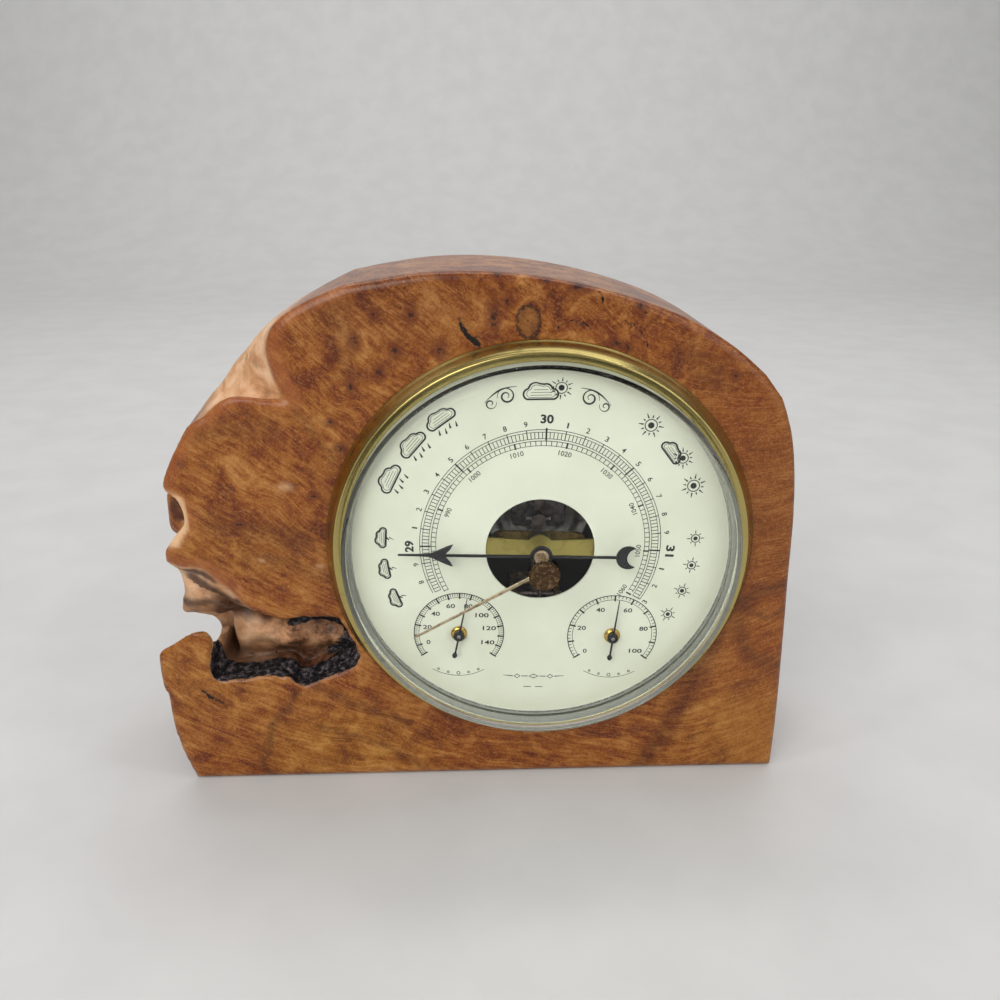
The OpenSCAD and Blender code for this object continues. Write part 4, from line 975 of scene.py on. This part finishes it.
def dial_pictures(ink):
    """Small weather pictures and pen scrolls between the scale and the dial's edge."""
    def draw(points, radius, angle, size, width, closed=False, turn=0):
        """Points drawn upright about (0, 0), standing on the dial round the scale's centre."""
        way, centre = math.radians(angle + turn), on_scale(radius, angle)
        ink.line([rolled(size * x, size * z, way, centre) for x, z in points], width, closed)

    def sun(radius, angle, size, rays):
        draw(circle(2.1), radius, angle, size, 0.34, True)
        draw(circle(0.55), radius, angle, size, 1.1 * size, True)
        for i in range(rays):
            ray = [polar(r, 2 * math.pi * i / rays) for r in (2.7, 3.7 if i % 2 else 4.5)]
            draw(ray, radius, angle, size, [0.6 * size, 0.2])

    def cloud_at(radius, angle, size):
        draw(cloud(), radius, angle, size, 0.62, True)
        draw([(x * 0.82, z * 0.74 + 0.1) for x, z in cloud()], radius, angle, size, 0.18, True)
        for z, half in ((-0.7, 3.9), (0.3, 3.6), (1.3, 2.6)):
            draw([(-half, z), (half, z)], radius, angle, size, 0.16)

    # rain, upper left
    for angle in (-65.5, -51, -38):
        cloud_at(1.362, angle, 0.86)
        for x, z in ((-3.8, -3.1), (-1.3, -4.0), (1.2, -3.1), (3.7, -4.0)):
            draw([(x + 0.5, z), (x, z - 1.1), (x - 0.4, z - 2.2)], 1.362, angle, 0.86, [0.16, 0.5, 0.75])
    # change, at the top: the sun behind a cloud, with a pen scroll on each side
    sun(1.35, 4.2, 0.9, 12)
    cloud_at(1.30, -2.6, 0.92)
    t = np.linspace(0, 1, 24)
    for side in (-1, 1):
        points, width = scroll(1.7, 3.1)
        draw(points * (side, 1), 1.31, side * 14.5, 1, width * 1.5)
        points, width = scroll(1.3, 2.0)
        draw(points * (-side, -1), 1.285, side * 20.5, 1, width * 1.2)
        stroke = np.stack([side * (-4.5 + 11.5 * t), 2.2 + 1.5 * np.sin(math.pi * t) - 2.9 * t], 1)
        draw(stroke, 1.315, side * 15.0, 1, 0.2 + 0.4 * np.sin(math.pi * t) ** 2)
    # fair, upper right
    for angle in (38, 65.5):
        sun(1.345, angle, 0.98, 12)
    sun(1.365, 54.5, 0.86, 12)
    cloud_at(1.315, 50.5, 0.72)
    # storm, left
    for angle in (-88, -100.5, -113):
        cloud_at(1.315, angle, 0.6)
        bolt = [(0.6, -1.5), (-1.0, -3.4), (0.3, -3.3), (-0.7, -5.6)]
        draw(bolt, 1.315, angle, 0.72, [0.7, 0.5, 0.5, 0.16])
    # very dry, right
    for angle in (86, 97, 108, 119):
        sun(1.297, angle, 0.7, 8)
    # lozenges and strokes at the foot
    for x, wide in ((-6.2, 1.1), (0, 1.7), (6.2, 1.1)):
        draw([(x - wide, 0), (x, 0.85), (x + wide, 0), (x, -0.85)], 1.27, 180, 1, 0.36, True, 180)
    for side in (-1, 1):
        for start, end, z0, z1, width in ((2.2, 4.6, 0, 0, 0.3), (7.8, 11.5, 0, 0.35, [0.4, 0.14]),
                                          (0.8, 3.6, -4.6, -4.6, 0.3)):
            draw([(side * start, z0), (side * end, z1)], 1.27, 180, 1, width, False, 180)
    # on each small dial, an arc and five small rings below its centre
    for centre in (THERMO, HYGRO):
        ink.line(round_points(18.0, 148, 212, centre), 0.2)
        for a in (154, 167, 180, 193, 206):
            x, z = polar(16.9, math.radians(a), centre)
            ink.line(circle(0.36 if a != 180 else 0.6, x, z, 16), 0.26, True)


# Finishes
def make_places():
    """Object coordinates in millimetres from the arbor axis, and the distance from that axis."""
    n, _, out = group("places", [], [("Block", "Vector"), ("Radius", "Float")])
    at = n.add("ShaderNodeTexCoord")["Object"]
    block = n.vector("SUBTRACT", n.vector("MULTIPLY", at, (1000, 1000, 1000)), tuple(AXIS))
    n.put(block, out["Block"])
    n.put(n.vector("LENGTH", n.vector("MULTIPLY", block, (1, 0, 1))), out["Radius"])
    return n.tree


def make_turned_marks():
    """Fine rings left by turning or spinning, about the arbor axis."""
    inputs = [("Radius", "Float", 0.0), ("Depth", "Float", 0.0), ("Pitch", "Float", 0.4)]
    n, given, out = group("turned_marks", inputs, [("Height", "Float")])
    along = n.calc("ADD", given["Radius"], n.calc("MULTIPLY", given["Depth"], 0.7))
    row = n.add("ShaderNodeCombineXYZ", {0: n.calc("DIVIDE", along, given["Pitch"])})[0]
    n.put(n.noise(row, 1.0, 4.0, 0.7), out["Height"])
    return n.tree


def make_patina():
    """Clean metal with cloudy dull patches and small dark specks."""
    n, given, out = group("patina", [
        ("Position", "Vector"), ("Clean", "Color", (0.8, 0.6, 0.3, 1)),
        ("Dull", "Color", (0.4, 0.3, 0.15, 1)), ("Amount", "Float", 0.4), ("Specks", "Float", 0.1),
        ("Patch size", "Float", 6.0)],
        [("Color", "Color"), ("Dullness", "Float")])
    at = given["Position"]
    cloudy = n.noise(at, n.calc("DIVIDE", 1.0, given["Patch size"]), 5.0, 0.62, 0.3)
    level = n.calc("SUBTRACT", 0.85, n.calc("MULTIPLY", given["Amount"], 0.6))
    dull = n.smooth(cloudy, n.calc("SUBTRACT", level, 0.22), n.calc("ADD", level, 0.1))
    dots = n.add("ShaderNodeTexVoronoi", {"Vector": at, "Scale": 0.9, "Randomness": 1.0})["Distance"]
    speck = n.calc("MULTIPLY", n.smooth(dots, 0.16, 0.06), given["Specks"])
    both = n.calc("MAXIMUM", dull, speck)
    n.put(n.mix(both, given["Clean"], given["Dull"]), out["Color"])
    n.put(both, out["Dullness"])
    return n.tree


def make_dust():
    """Scattered fine dust and lint, more of it on what faces up."""
    n, given, out = group("dust", [("Position", "Vector"), ("Amount", "Float", 0.2)], [("Mask", "Float")])
    up = n.add("ShaderNodeSeparateXYZ", {0: n.add("ShaderNodeNewGeometry")["Normal"]})[2]
    grains = n.noise(given["Position"], 2.2, 6.0, 0.75)
    lying = n.smooth(up, -0.2, 1.0, 0.35, 1.0)
    mask = n.calc("MULTIPLY", n.calc("MULTIPLY", n.smooth(grains, 0.55, 0.75), lying), given["Amount"])
    n.put(mask, out["Mask"])
    return n.tree


PLACES, TURNED_MARKS, PATINA, DUST = make_places(), make_turned_marks(), make_patina(), make_dust()


def finish(name, **values):
    """A new material; values are constants on its shader's sockets."""
    material = bpy.data.materials.new(name)
    material.use_nodes = True
    shader = material.node_tree.nodes["Principled BSDF"]
    for key, value in values.items():
        shader.inputs[key.replace("_", " ").title().replace("Ior", "IOR")].default_value = value
    n = Nodes(material.node_tree)
    return material, shader.inputs, n, n.use(PLACES, {})


def bump(n, target, height, strength, distance):
    out = n.add("ShaderNodeBump", {"Height": height, "Strength": strength, "Distance": distance * MM})
    n.put(out["Normal"], target["Normal"])


def metal(name, clean, dull, rough, amount=0.4, specks=0.1, patch=6.0, turned_pitch=0.0, grain=0.02):
    """A metal with patina; turned metal has fine rings about the arbor axis."""
    material, shader, n, places = finish(name, metallic=1.0)
    old = n.use(PATINA, {"Position": places["Block"], "Clean": hue(*clean), "Dull": hue(*dull),
                         "Amount": amount, "Specks": specks, "Patch size": patch})
    n.put(old["Color"], shader["Base Color"])
    height = n.noise(places["Block"], 7.0, 3.0)
    if turned_pitch:
        depth = n.add("ShaderNodeSeparateXYZ", {0: places["Block"]})[1]
        rings = {"Radius": places["Radius"], "Depth": depth, "Pitch": turned_pitch}
        height = n.use(TURNED_MARKS, rings)["Height"]
    wander = n.calc("MULTIPLY_ADD", height, 0.12, rough - 0.06)
    n.put(n.calc("MULTIPLY_ADD", old["Dullness"], 0.22, wander, clamp=True), shader["Roughness"])
    bump(n, shader, height, 0.6, grain)
    return material


def coated(name, colour, worn, rough, dusty, texture, depth):
    """Paint, ink, rubber or blacking: one colour that wears and gathers dust."""
    material, shader, n, places = finish(name)
    wear = n.smooth(n.noise(places["Block"], 0.5, 4.0, 0.65), 0.48, 0.72)
    dust = n.use(DUST, {"Position": places["Block"], "Amount": dusty})["Mask"]
    coats = [(n.calc("MULTIPLY", wear, 0.6), worn), (dust, (150, 146, 136))]
    n.put(n.tint(hue(*colour), *coats), shader["Base Color"])
    n.put(n.calc("MULTIPLY_ADD", wear, 0.12, rough), shader["Roughness"])
    bump(n, shader, n.noise(places["Block"], texture, 4.0), 0.5, depth)
    return material


def burl_finish():
    """Lacquered burl: slanting figure, fine mottling, eyes and cracks; pale wood and bark in the breaks."""
    material, shader, n, places = finish(
        "burl_wood", coat_roughness=0.16, coat_ior=1.45, specular_ior_level=0.22)
    at = places["Block"]

    def given(name, output="Fac"):
        return n.add("ShaderNodeAttribute", attribute_name=name, attribute_type="GEOMETRY")[output]

    def part(name, share):
        return n.calc("MULTIPLY", given(name), share)

    def stretched(vector, scale, *noise):
        """Noise in cells of its own size along each direction."""
        return n.noise(n.vector("MULTIPLY", vector, scale), 1.0, *noise)

    def thin(value, level, width, most):
        """A thin line where the value is at the level."""
        return n.smooth(n.calc("ABSOLUTE", n.calc("SUBTRACT", value, level)), width, 0.0, 0.0, most)

    grain = given("grain", "Vector")
    ragged = n.calc("SUBTRACT", n.noise(at, 0.9, 4.0, 0.7), 0.5)
    broad = n.noise(at, 0.055, 2.0, 0.5, 1.4)
    figure = stretched(grain, (0.18, 0.055, 0.09), 3.0, 0.55, 1.2)
    streak = stretched(grain, (0.95, 0.05, 0.12), 4.0, 0.6, 0.35)
    mottle = stretched(grain, (0.5, 0.3, 0.35), 5.0, 0.7, 0.8)
    lively = n.calc("MULTIPLY_ADD", streak, 0.22, n.calc("MULTIPLY", mottle, 0.2))
    tone = n.calc("MULTIPLY_ADD", figure, 0.28, n.calc("MULTIPLY_ADD", broad, 0.3, lively))
    # over the dial the figure is cloudy, without a direction
    clouds = n.calc("MULTIPLY_ADD", n.noise(at, 0.17, 5.0, 0.64, 1.1), 0.6, n.calc("MULTIPLY", broad, 0.4))
    tone = n.calc("MULTIPLY_ADD", n.calc("SUBTRACT", clouds, tone), part("cloudy", 0.85), tone)
    # the right side is plainer and a little darker
    tone = n.calc("MULTIPLY_ADD", n.calc("SUBTRACT", 0.478, tone), part("plain", 0.55), tone)
    brown = n.ramp(tone, (0.40, 90, 34, 2), (0.45, 112, 46, 4), (0.5, 137, 73, 14), (0.55, 157, 95, 34),
                   (0.61, 180, 122, 62))
    gold = n.ramp(tone, (0.41, 116, 62, 8), (0.5, 158, 100, 30), (0.59, 192, 138, 66))
    red = n.ramp(tone, (0.41, 86, 36, 6), (0.5, 127, 70, 22), (0.59, 166, 112, 64))
    # long fine fibres, light and dark, the thin curls between them, and pores
    fibre = stretched(grain, (2.1, 0.09, 0.3), 4.0, 0.6, 0.4)
    fine = n.noise(at, 1.4, 3.0, 0.6)
    curl = stretched(grain, (0.42, 0.16, 0.25), 2.0, 0.5, 2.2)
    pores = stretched(grain, (3.6, 0.9, 1.2), 3.0, 0.7)
    stain = n.calc("MULTIPLY", given("stain"), n.smooth(mottle, 0.3, 0.6, 1.2, 0.6), clamp=True)
    # clusters of fine specks, ragged eyes in redder wood, the ringed knot over the bezel, then cracks
    cluster = n.calc("MULTIPLY", n.smooth(n.noise(at, 0.085, 2.0), 0.5, 0.58), given("cloudy"))
    speck = n.calc("MULTIPLY", n.smooth(n.noise(at, 0.8, 2.0, 0.5, 0.6), 0.6, 0.69, 0.0, 0.75), cluster)
    eye = n.calc("MULTIPLY_ADD", ragged, 2.6, given("eye"))
    pip = n.smooth(eye, 0.85, 0.35, 0.0, 0.88)
    knot = n.calc("MULTIPLY_ADD", ragged, 1.1, given("knot"))
    rings = n.smooth(n.calc("PINGPONG", knot, 0.5), 0.2, 0.03)
    rings = n.calc("MULTIPLY", rings, n.smooth(knot, 1.15, 1.05, 0.0, 0.85))
    crack = n.smooth(n.calc("MULTIPLY_ADD", ragged, 1.7, given("crack")), 0.34, 0.0)
    # pale wood, the mottled log in the pocket, painted shade in the hollows and recesses, and bark
    worn = stretched(at, (0.16, 0.1, 0.2), 4.0, 0.55, 0.4)
    patches = n.noise(at, 0.16, 4.0, 0.6)
    pale = n.ramp(worn, (0.3, 188, 134, 92), (0.44, 210, 160, 116), (0.55, 224, 178, 138),
                  (0.72, 238, 200, 160))
    log = n.calc("MULTIPLY_ADD", mottle, 0.4, n.calc("MULTIPLY", patches, 0.6))
    log = n.ramp(log, (0.4, 84, 54, 34), (0.46, 140, 96, 64), (0.53, 184, 132, 94), (0.62, 216, 168, 124))
    pale = n.tint(pale, (n.smooth(patches, 0.54, 0.68, 0.0, 0.5), (142, 110, 78)), (given("log"), log))
    # the colour of the painted shade, laid on where the shade mask is
    dark = n.ramp(mottle, (0.4, 30, 12, 7), (0.6, 78, 38, 23))
    crust = n.ramp(n.noise(at, 0.42, 6.0, 0.72), (0.36, 6, 5, 7), (0.48, 22, 18, 20), (0.56, 70, 64, 68),
                   (0.66, 128, 118, 116))
    torn = n.calc("MULTIPLY", n.calc("SUBTRACT", n.noise(at, 0.4, 5.0, 0.7), 0.5), 1.5)
    bark = n.smooth(n.calc("ADD", given("bark"), torn), 0.38, 0.58)
    bark = n.calc("MULTIPLY", bark, n.smooth(given("bark"), 0.02, 0.15))
    inside = given("inside")
    colour = n.tint(
        brown, (part("gold", 0.8), gold), (part("red", 0.6), red),
        (n.smooth(fibre, 0.49, 0.34, 0.0, 0.3), (78, 32, 4)),
        (n.smooth(fibre, 0.53, 0.68, 0.0, 0.3), (196, 140, 80)),
        (n.smooth(fine, 0.49, 0.34, 0.0, 0.24), (74, 28, 2)),
        (n.smooth(fine, 0.52, 0.66, 0.0, 0.22), (196, 138, 76)),
        (thin(curl, 0.5, 0.014, 0.34), (72, 30, 6)), (thin(curl, 0.57, 0.012, 0.45), (208, 152, 92)),
        (n.smooth(pores, 0.63, 0.76, 0.0, 0.4), (74, 34, 8)), (stain, (64, 28, 8)), (speck, (74, 30, 8)),
        (n.smooth(eye, 2.8, 0.9, 0.0, 0.7), (98, 42, 12)), (pip, (42, 17, 7)),
        (n.smooth(knot, 1.05, 0.8, 0.0, 0.45), (112, 76, 34)), (rings, (44, 24, 10)), (crack, (14, 5, 2)),
        # the eased natural edge is redder: partly redder wood, partly a painted sheen of its rounding
        (part("edge", 0.4), (170, 98, 56)),
        # painted highlight where the light mask is, in a cream colour over the pale wood
        (given("pale"), pale), (given("light"), (230, 188, 142)), (part("shade", 0.9), dark), (bark, crust),
        (n.calc("MULTIPLY", inside, 0.55), (150, 104, 64)))
    n.put(colour, shader["Base Color"])
    raw = n.calc("MAXIMUM", n.calc("MAXIMUM", bark, inside), part("pale", 0.5))
    n.put(n.smooth(raw, 0.0, 1.0, 0.34, 0.0), shader["Coat Weight"])
    n.put(n.calc("MULTIPLY_ADD", fibre, 0.14, n.smooth(raw, 0.0, 1.0, 0.34, 0.72)), shader["Roughness"])
    rough = n.calc("MULTIPLY", n.noise(at, 0.55, 4.0, 0.6), n.calc("MAXIMUM", bark, part("pale", 0.12)))
    relief = n.calc("MULTIPLY_ADD", fibre, 0.03, n.calc("MULTIPLY", rough, 1.4))
    relief = n.calc("SUBTRACT", relief, n.calc("MULTIPLY", n.calc("MAXIMUM", crack, pip), 0.08))
    bump(n, shader, relief, 0.8, 0.8)
    return material


def crystal_finish():
    """Clear glass; the lamps' light passes it undimmed, as it does through so thin a dome."""
    material, shader, n, places = finish("clear_crystal", base_color=(0.985, 0.995, 0.99, 1), ior=1.22,
                                         transmission_weight=1.0, metallic=0.0)
    smear = n.use(DUST, {"Position": places["Block"], "Amount": 1.0})["Mask"]
    n.put(n.calc("MULTIPLY", smear, 0.03), shader["Roughness"])
    clear = n.add("ShaderNodeBsdfTransparent", {"Color": (0.97, 0.98, 0.975, 1)})[0]
    lamp = n.add("ShaderNodeLightPath")["Is Shadow Ray"]
    glass = material.node_tree.nodes["Principled BSDF"].outputs[0]
    both = n.add("ShaderNodeMixShader", {0: lamp, 1: glass, 2: clear})[0]
    n.put(both, material.node_tree.nodes["Material Output"].inputs["Surface"])
    return material


def dial_finish():
    """Pale enamelled card, darker towards its edge with painted shade near the bezel, with faint specks."""
    material, shader, n, places = finish("dial_enamel", coat_weight=0.12, coat_roughness=0.3)
    at = places["Block"]
    aged = n.noise(at, 0.04, 3.0)
    specks = n.add("ShaderNodeTexVoronoi", {"Vector": at, "Scale": 0.28})["Distance"]
    rare = n.calc("MULTIPLY", n.smooth(specks, 0.05, 0.03), n.smooth(n.noise(at, 0.1, 2.0), 0.55, 0.62))
    dust = n.use(DUST, {"Position": at, "Amount": 0.25})["Mask"]
    colour = n.tint(hue(206, 209, 191), (n.smooth(aged, 0.35, 0.7), (200, 203, 183)),
                    # painted shade: the dial darkens towards its edge, by the bezel
                    (n.smooth(places["Radius"], 56, 69, 0.0, 0.5), (188, 190, 168)),
                    (n.calc("MULTIPLY", rare, 0.6), (120, 112, 92)), (dust, (206, 204, 188)))
    n.put(colour, shader["Base Color"])
    n.put(n.smooth(aged, 0.3, 0.7, 0.42, 0.52), shader["Roughness"])
    bump(n, shader, n.noise(at, 3.0, 3.0), 0.15, 0.02)
    return material


# Metals: clean and dull colour, roughness, and amount of patina, specks, patch size, pitch of turning, grain
METALS = {
    "satin_brass": ((182, 166, 104), (132, 120, 68), 0.22, 0.18, 0.1, 9.0, 0.5, 0.003),
    "worn_brass": ((162, 138, 106), (84, 64, 46), 0.4, 0.7, 0.6, 1.2, 0.0, 0.05),
    "boss_brass": ((190, 168, 138), (120, 96, 72), 0.3, 0.5, 0.2, 1.5, 0.15, 0.01),
    "rod_brass": ((192, 174, 144), (140, 120, 92), 0.36, 0.4, 0.1, 4.0),
    "plate_brass": ((176, 162, 92), (150, 136, 74), 0.42, 0.3, 0.1, 5.0),
    "bush_brass": ((212, 178, 96), (140, 104, 48), 0.2, 0.35, 0.1, 2.0),
    "spring_steel": ((96, 92, 92), (48, 42, 40), 0.36, 0.5, 0.3, 3.0),
    "lever_steel": ((120, 110, 104), (70, 56, 50), 0.4, 0.5, 0.3, 3.0),
    "screw_steel": ((168, 166, 162), (98, 92, 86), 0.32, 0.4, 0.2, 2.0),
    "nickel_silver": ((150, 148, 142), (92, 86, 80), 0.34, 0.4, 0.2, 4.0, 0.3),
    "movement_brass": ((164, 140, 82), (94, 76, 44), 0.38, 0.5, 0.2, 4.0),
    "bimetal_strip": ((170, 150, 140), (110, 84, 70), 0.35),
    "foil_strip": ((186, 180, 166), (140, 124, 96), 0.4),
}
# Coats: colour, worn colour, roughness, dust, texture scale and depth
COATS = {
    "dial_ink": ((22, 21, 22), (52, 50, 48), 0.55, 0.1, 6.0, 0.005),
    "grey_ring": ((196, 196, 188), (170, 168, 156), 0.3, 0.1, 8.0, 0.003),
    "black_case": ((10, 10, 12), (22, 20, 20), 0.34, 0.08, 1.5, 0.02),
    "black_hand": ((11, 11, 13), (24, 23, 24), 0.3, 0.1, 4.0, 0.01),
}
materials = {"burl_wood": burl_finish(), "clear_crystal": crystal_finish(), "dial_enamel": dial_finish()}
materials.update({name: metal(name, *values) for name, values in METALS.items()})
materials.update({name: coated(name, *values) for name, values in COATS.items()})

CARRIED_OVER = {
    # the crystal's gasket is painted pale grey: a painted reflection, for the silver look of the crystal's
    # wall
    "grey_ring": ["crystal_gasket"],
    "dial_enamel": ["dial_plate"],
    "black_case": ["case_pan", "movement_plate"],
    "spring_steel": ["case_clips", "main_spring", "hairspring"],
    "movement_brass": ["plate_spacers", "rocker_bracket", "hand_arbor", "hairspring_stud", "lower_cock",
                       "cock_posts", "bar_pillars"],
    "screw_steel": ["plate_screws", "adjusting_screw", "knife_pin", "spring_screws", "bracket_screws",
                    "pivot_screws", "chain", "bar_screws", "set_spindle"],
    "nickel_silver": ["capsule", "thermo_frame", "hygro_frame"],
    "lever_steel": ["capsule_post", "main_lever", "lever_link", "rocker"],
    "plate_brass": ["cock_bar"],
    "rod_brass": ["crystal_bush"],
    "bimetal_strip": ["thermo_coil"],
    "foil_strip": ["hygro_coil"],
}
for material_name, node_names in CARRIED_OVER.items():
    for node_name in node_names:
        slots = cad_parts[node_name].data.materials
        slots.clear()
        slots.append(materials[material_name])


def dress(obj, material_name, body, slot_name, *nodes):
    """Gives a finished piece its material and its body, and hides the CAD parts it stands for."""
    obj.data.materials.clear()
    obj.data.materials.append(materials[material_name])
    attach(obj, body)
    if nodes:
        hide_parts(*nodes)


dress(burl_block(), "burl_wood", "housing", "burl_wood", "burl_block")
dress(bezel(), "satin_brass", "housing", "satin_brass", "bezel_ring")
dress(crystal(), "clear_crystal", "housing", "clear_crystal", "crystal")
dress(pressure_hand(), "black_hand", "pressure_hand", "black_hand", "pressure_hand")
dress(hand_boss(), "boss_brass", "pressure_hand", "satin_brass", "hand_boss")
dress(set_knob(materials["worn_brass"]), "worn_brass", "set_hand", "worn_brass", "set_knob")
dress(set_hand(), "rod_brass", "set_hand", "worn_brass", "set_hand")
for small, body, centre, angle in (("thermo", "thermometer_hand", THERMO, THERMO_ANGLE),
                                   ("hygro", "hygrometer_hand", HYGRO, HYGRO_ANGLE)):
    collar = turned(small + "_collar", COLLAR, 96, centre)
    dress(collar, "bush_brass", "housing", "satin_brass", small + "_bush")
    dress(small_hand(small + "_needle", angle, centre), "black_hand", body, "black_hand", small + "_hand")
    pin = turned(small + "_pin", PIN, 48, centre)
    dress(pin, "screw_steel", body, "screw_steel", small + "_arbor")

ink = Ink()
scale_lines(ink)
dial_pictures(ink)
for drawn in (ink.mesh("dial_drawing"), scale_marks(materials["dial_ink"]), scale_numbers()):
    dress(drawn, "dial_ink", "housing", "dial_enamel")


# Floor, lights and camera
def sweep():
    """A pale floor that curves up into a backdrop."""
    rows = [(-3.0, 0.0), (1.3, 0.0)]
    rows += [(1.3 + 0.9 * math.sin(t), 0.9 - 0.9 * math.cos(t)) for t in np.linspace(0.1, math.pi / 2, 14)]
    rows += [(2.2, 3.2)]
    points = [(x, y, z - 0.0001) for y, z in rows for x in (-4.0, 4.0)]
    faces = [[2 * i, 2 * i + 1, 2 * i + 3, 2 * i + 2] for i in range(len(rows) - 1)]
    obj = add_mesh("floor", points, faces)
    paper, shader, n, places = finish("paper", roughness=0.8)
    tone = n.smooth(n.noise(places["Block"], 0.02, 3.0), 0.3, 0.7)
    n.put(n.mix(tone, hue(208, 207, 205), hue(203, 202, 200)), shader["Base Color"])
    obj.data.materials.append(paper)


def lamp(name, place, aim, size, power, colour=(1, 1, 1)):
    data = bpy.data.lights.new(name, "AREA")
    data.shape, data.size, data.size_y, data.energy, data.color = "RECTANGLE", size[0], size[1], power, colour
    obj = linked(name, data)
    obj.location = place
    obj.rotation_euler = (Vector(aim) - Vector(place)).to_track_quat("-Z", "Y").to_euler()


sweep()
lamp("key", (-0.6, -1.1, 0.95), (0, 0, 0.09), (0.9, 0.9), 11.6, (1.0, 0.985, 0.96))
lamp("fill", (1.0, -1.05, 0.6), (0, 0, 0.09), (1.1, 1.1), 5.2, (0.96, 0.98, 1.0))
lamp("top", (0.1, 0.3, 1.2), (0, 0, 0.1), (1.4, 0.6), 4.0)
lamp("left window", (-0.75, -0.35, 1.0), (0, 0, 0.09), (0.1, 0.7), 1.6)
lamp("right window", (0.8, -0.35, 0.95), (0, 0, 0.09), (0.1, 0.7), 1.6)
lamp("wall", (0.0, 0.7, 2.0), (0, 2.2, 0.7), (2.4, 0.5), 26.0)
world = bpy.data.worlds.new("room")
world.use_nodes = True
world.node_tree.nodes["Background"].inputs["Color"].default_value = (0.93, 0.95, 1.0, 1)
world.node_tree.nodes["Background"].inputs["Strength"].default_value = 0.23
bpy.context.scene.world = world

camera_data = bpy.data.cameras.new("camera")
camera_data.lens, camera_data.sensor_width, camera_data.clip_start = LENS, 36.0, 0.01
camera = linked("camera", camera_data)
turn = Matrix([CAMERA_RIGHT, CAMERA_UP, CAMERA_BACK]).transposed().to_4x4()
camera.matrix_world = Matrix.Translation((np.array(CAMERA_AT) + AXIS) * MM) @ turn
bpy.context.scene.camera = camera
bpy.context.scene.view_settings.view_transform = "Standard"
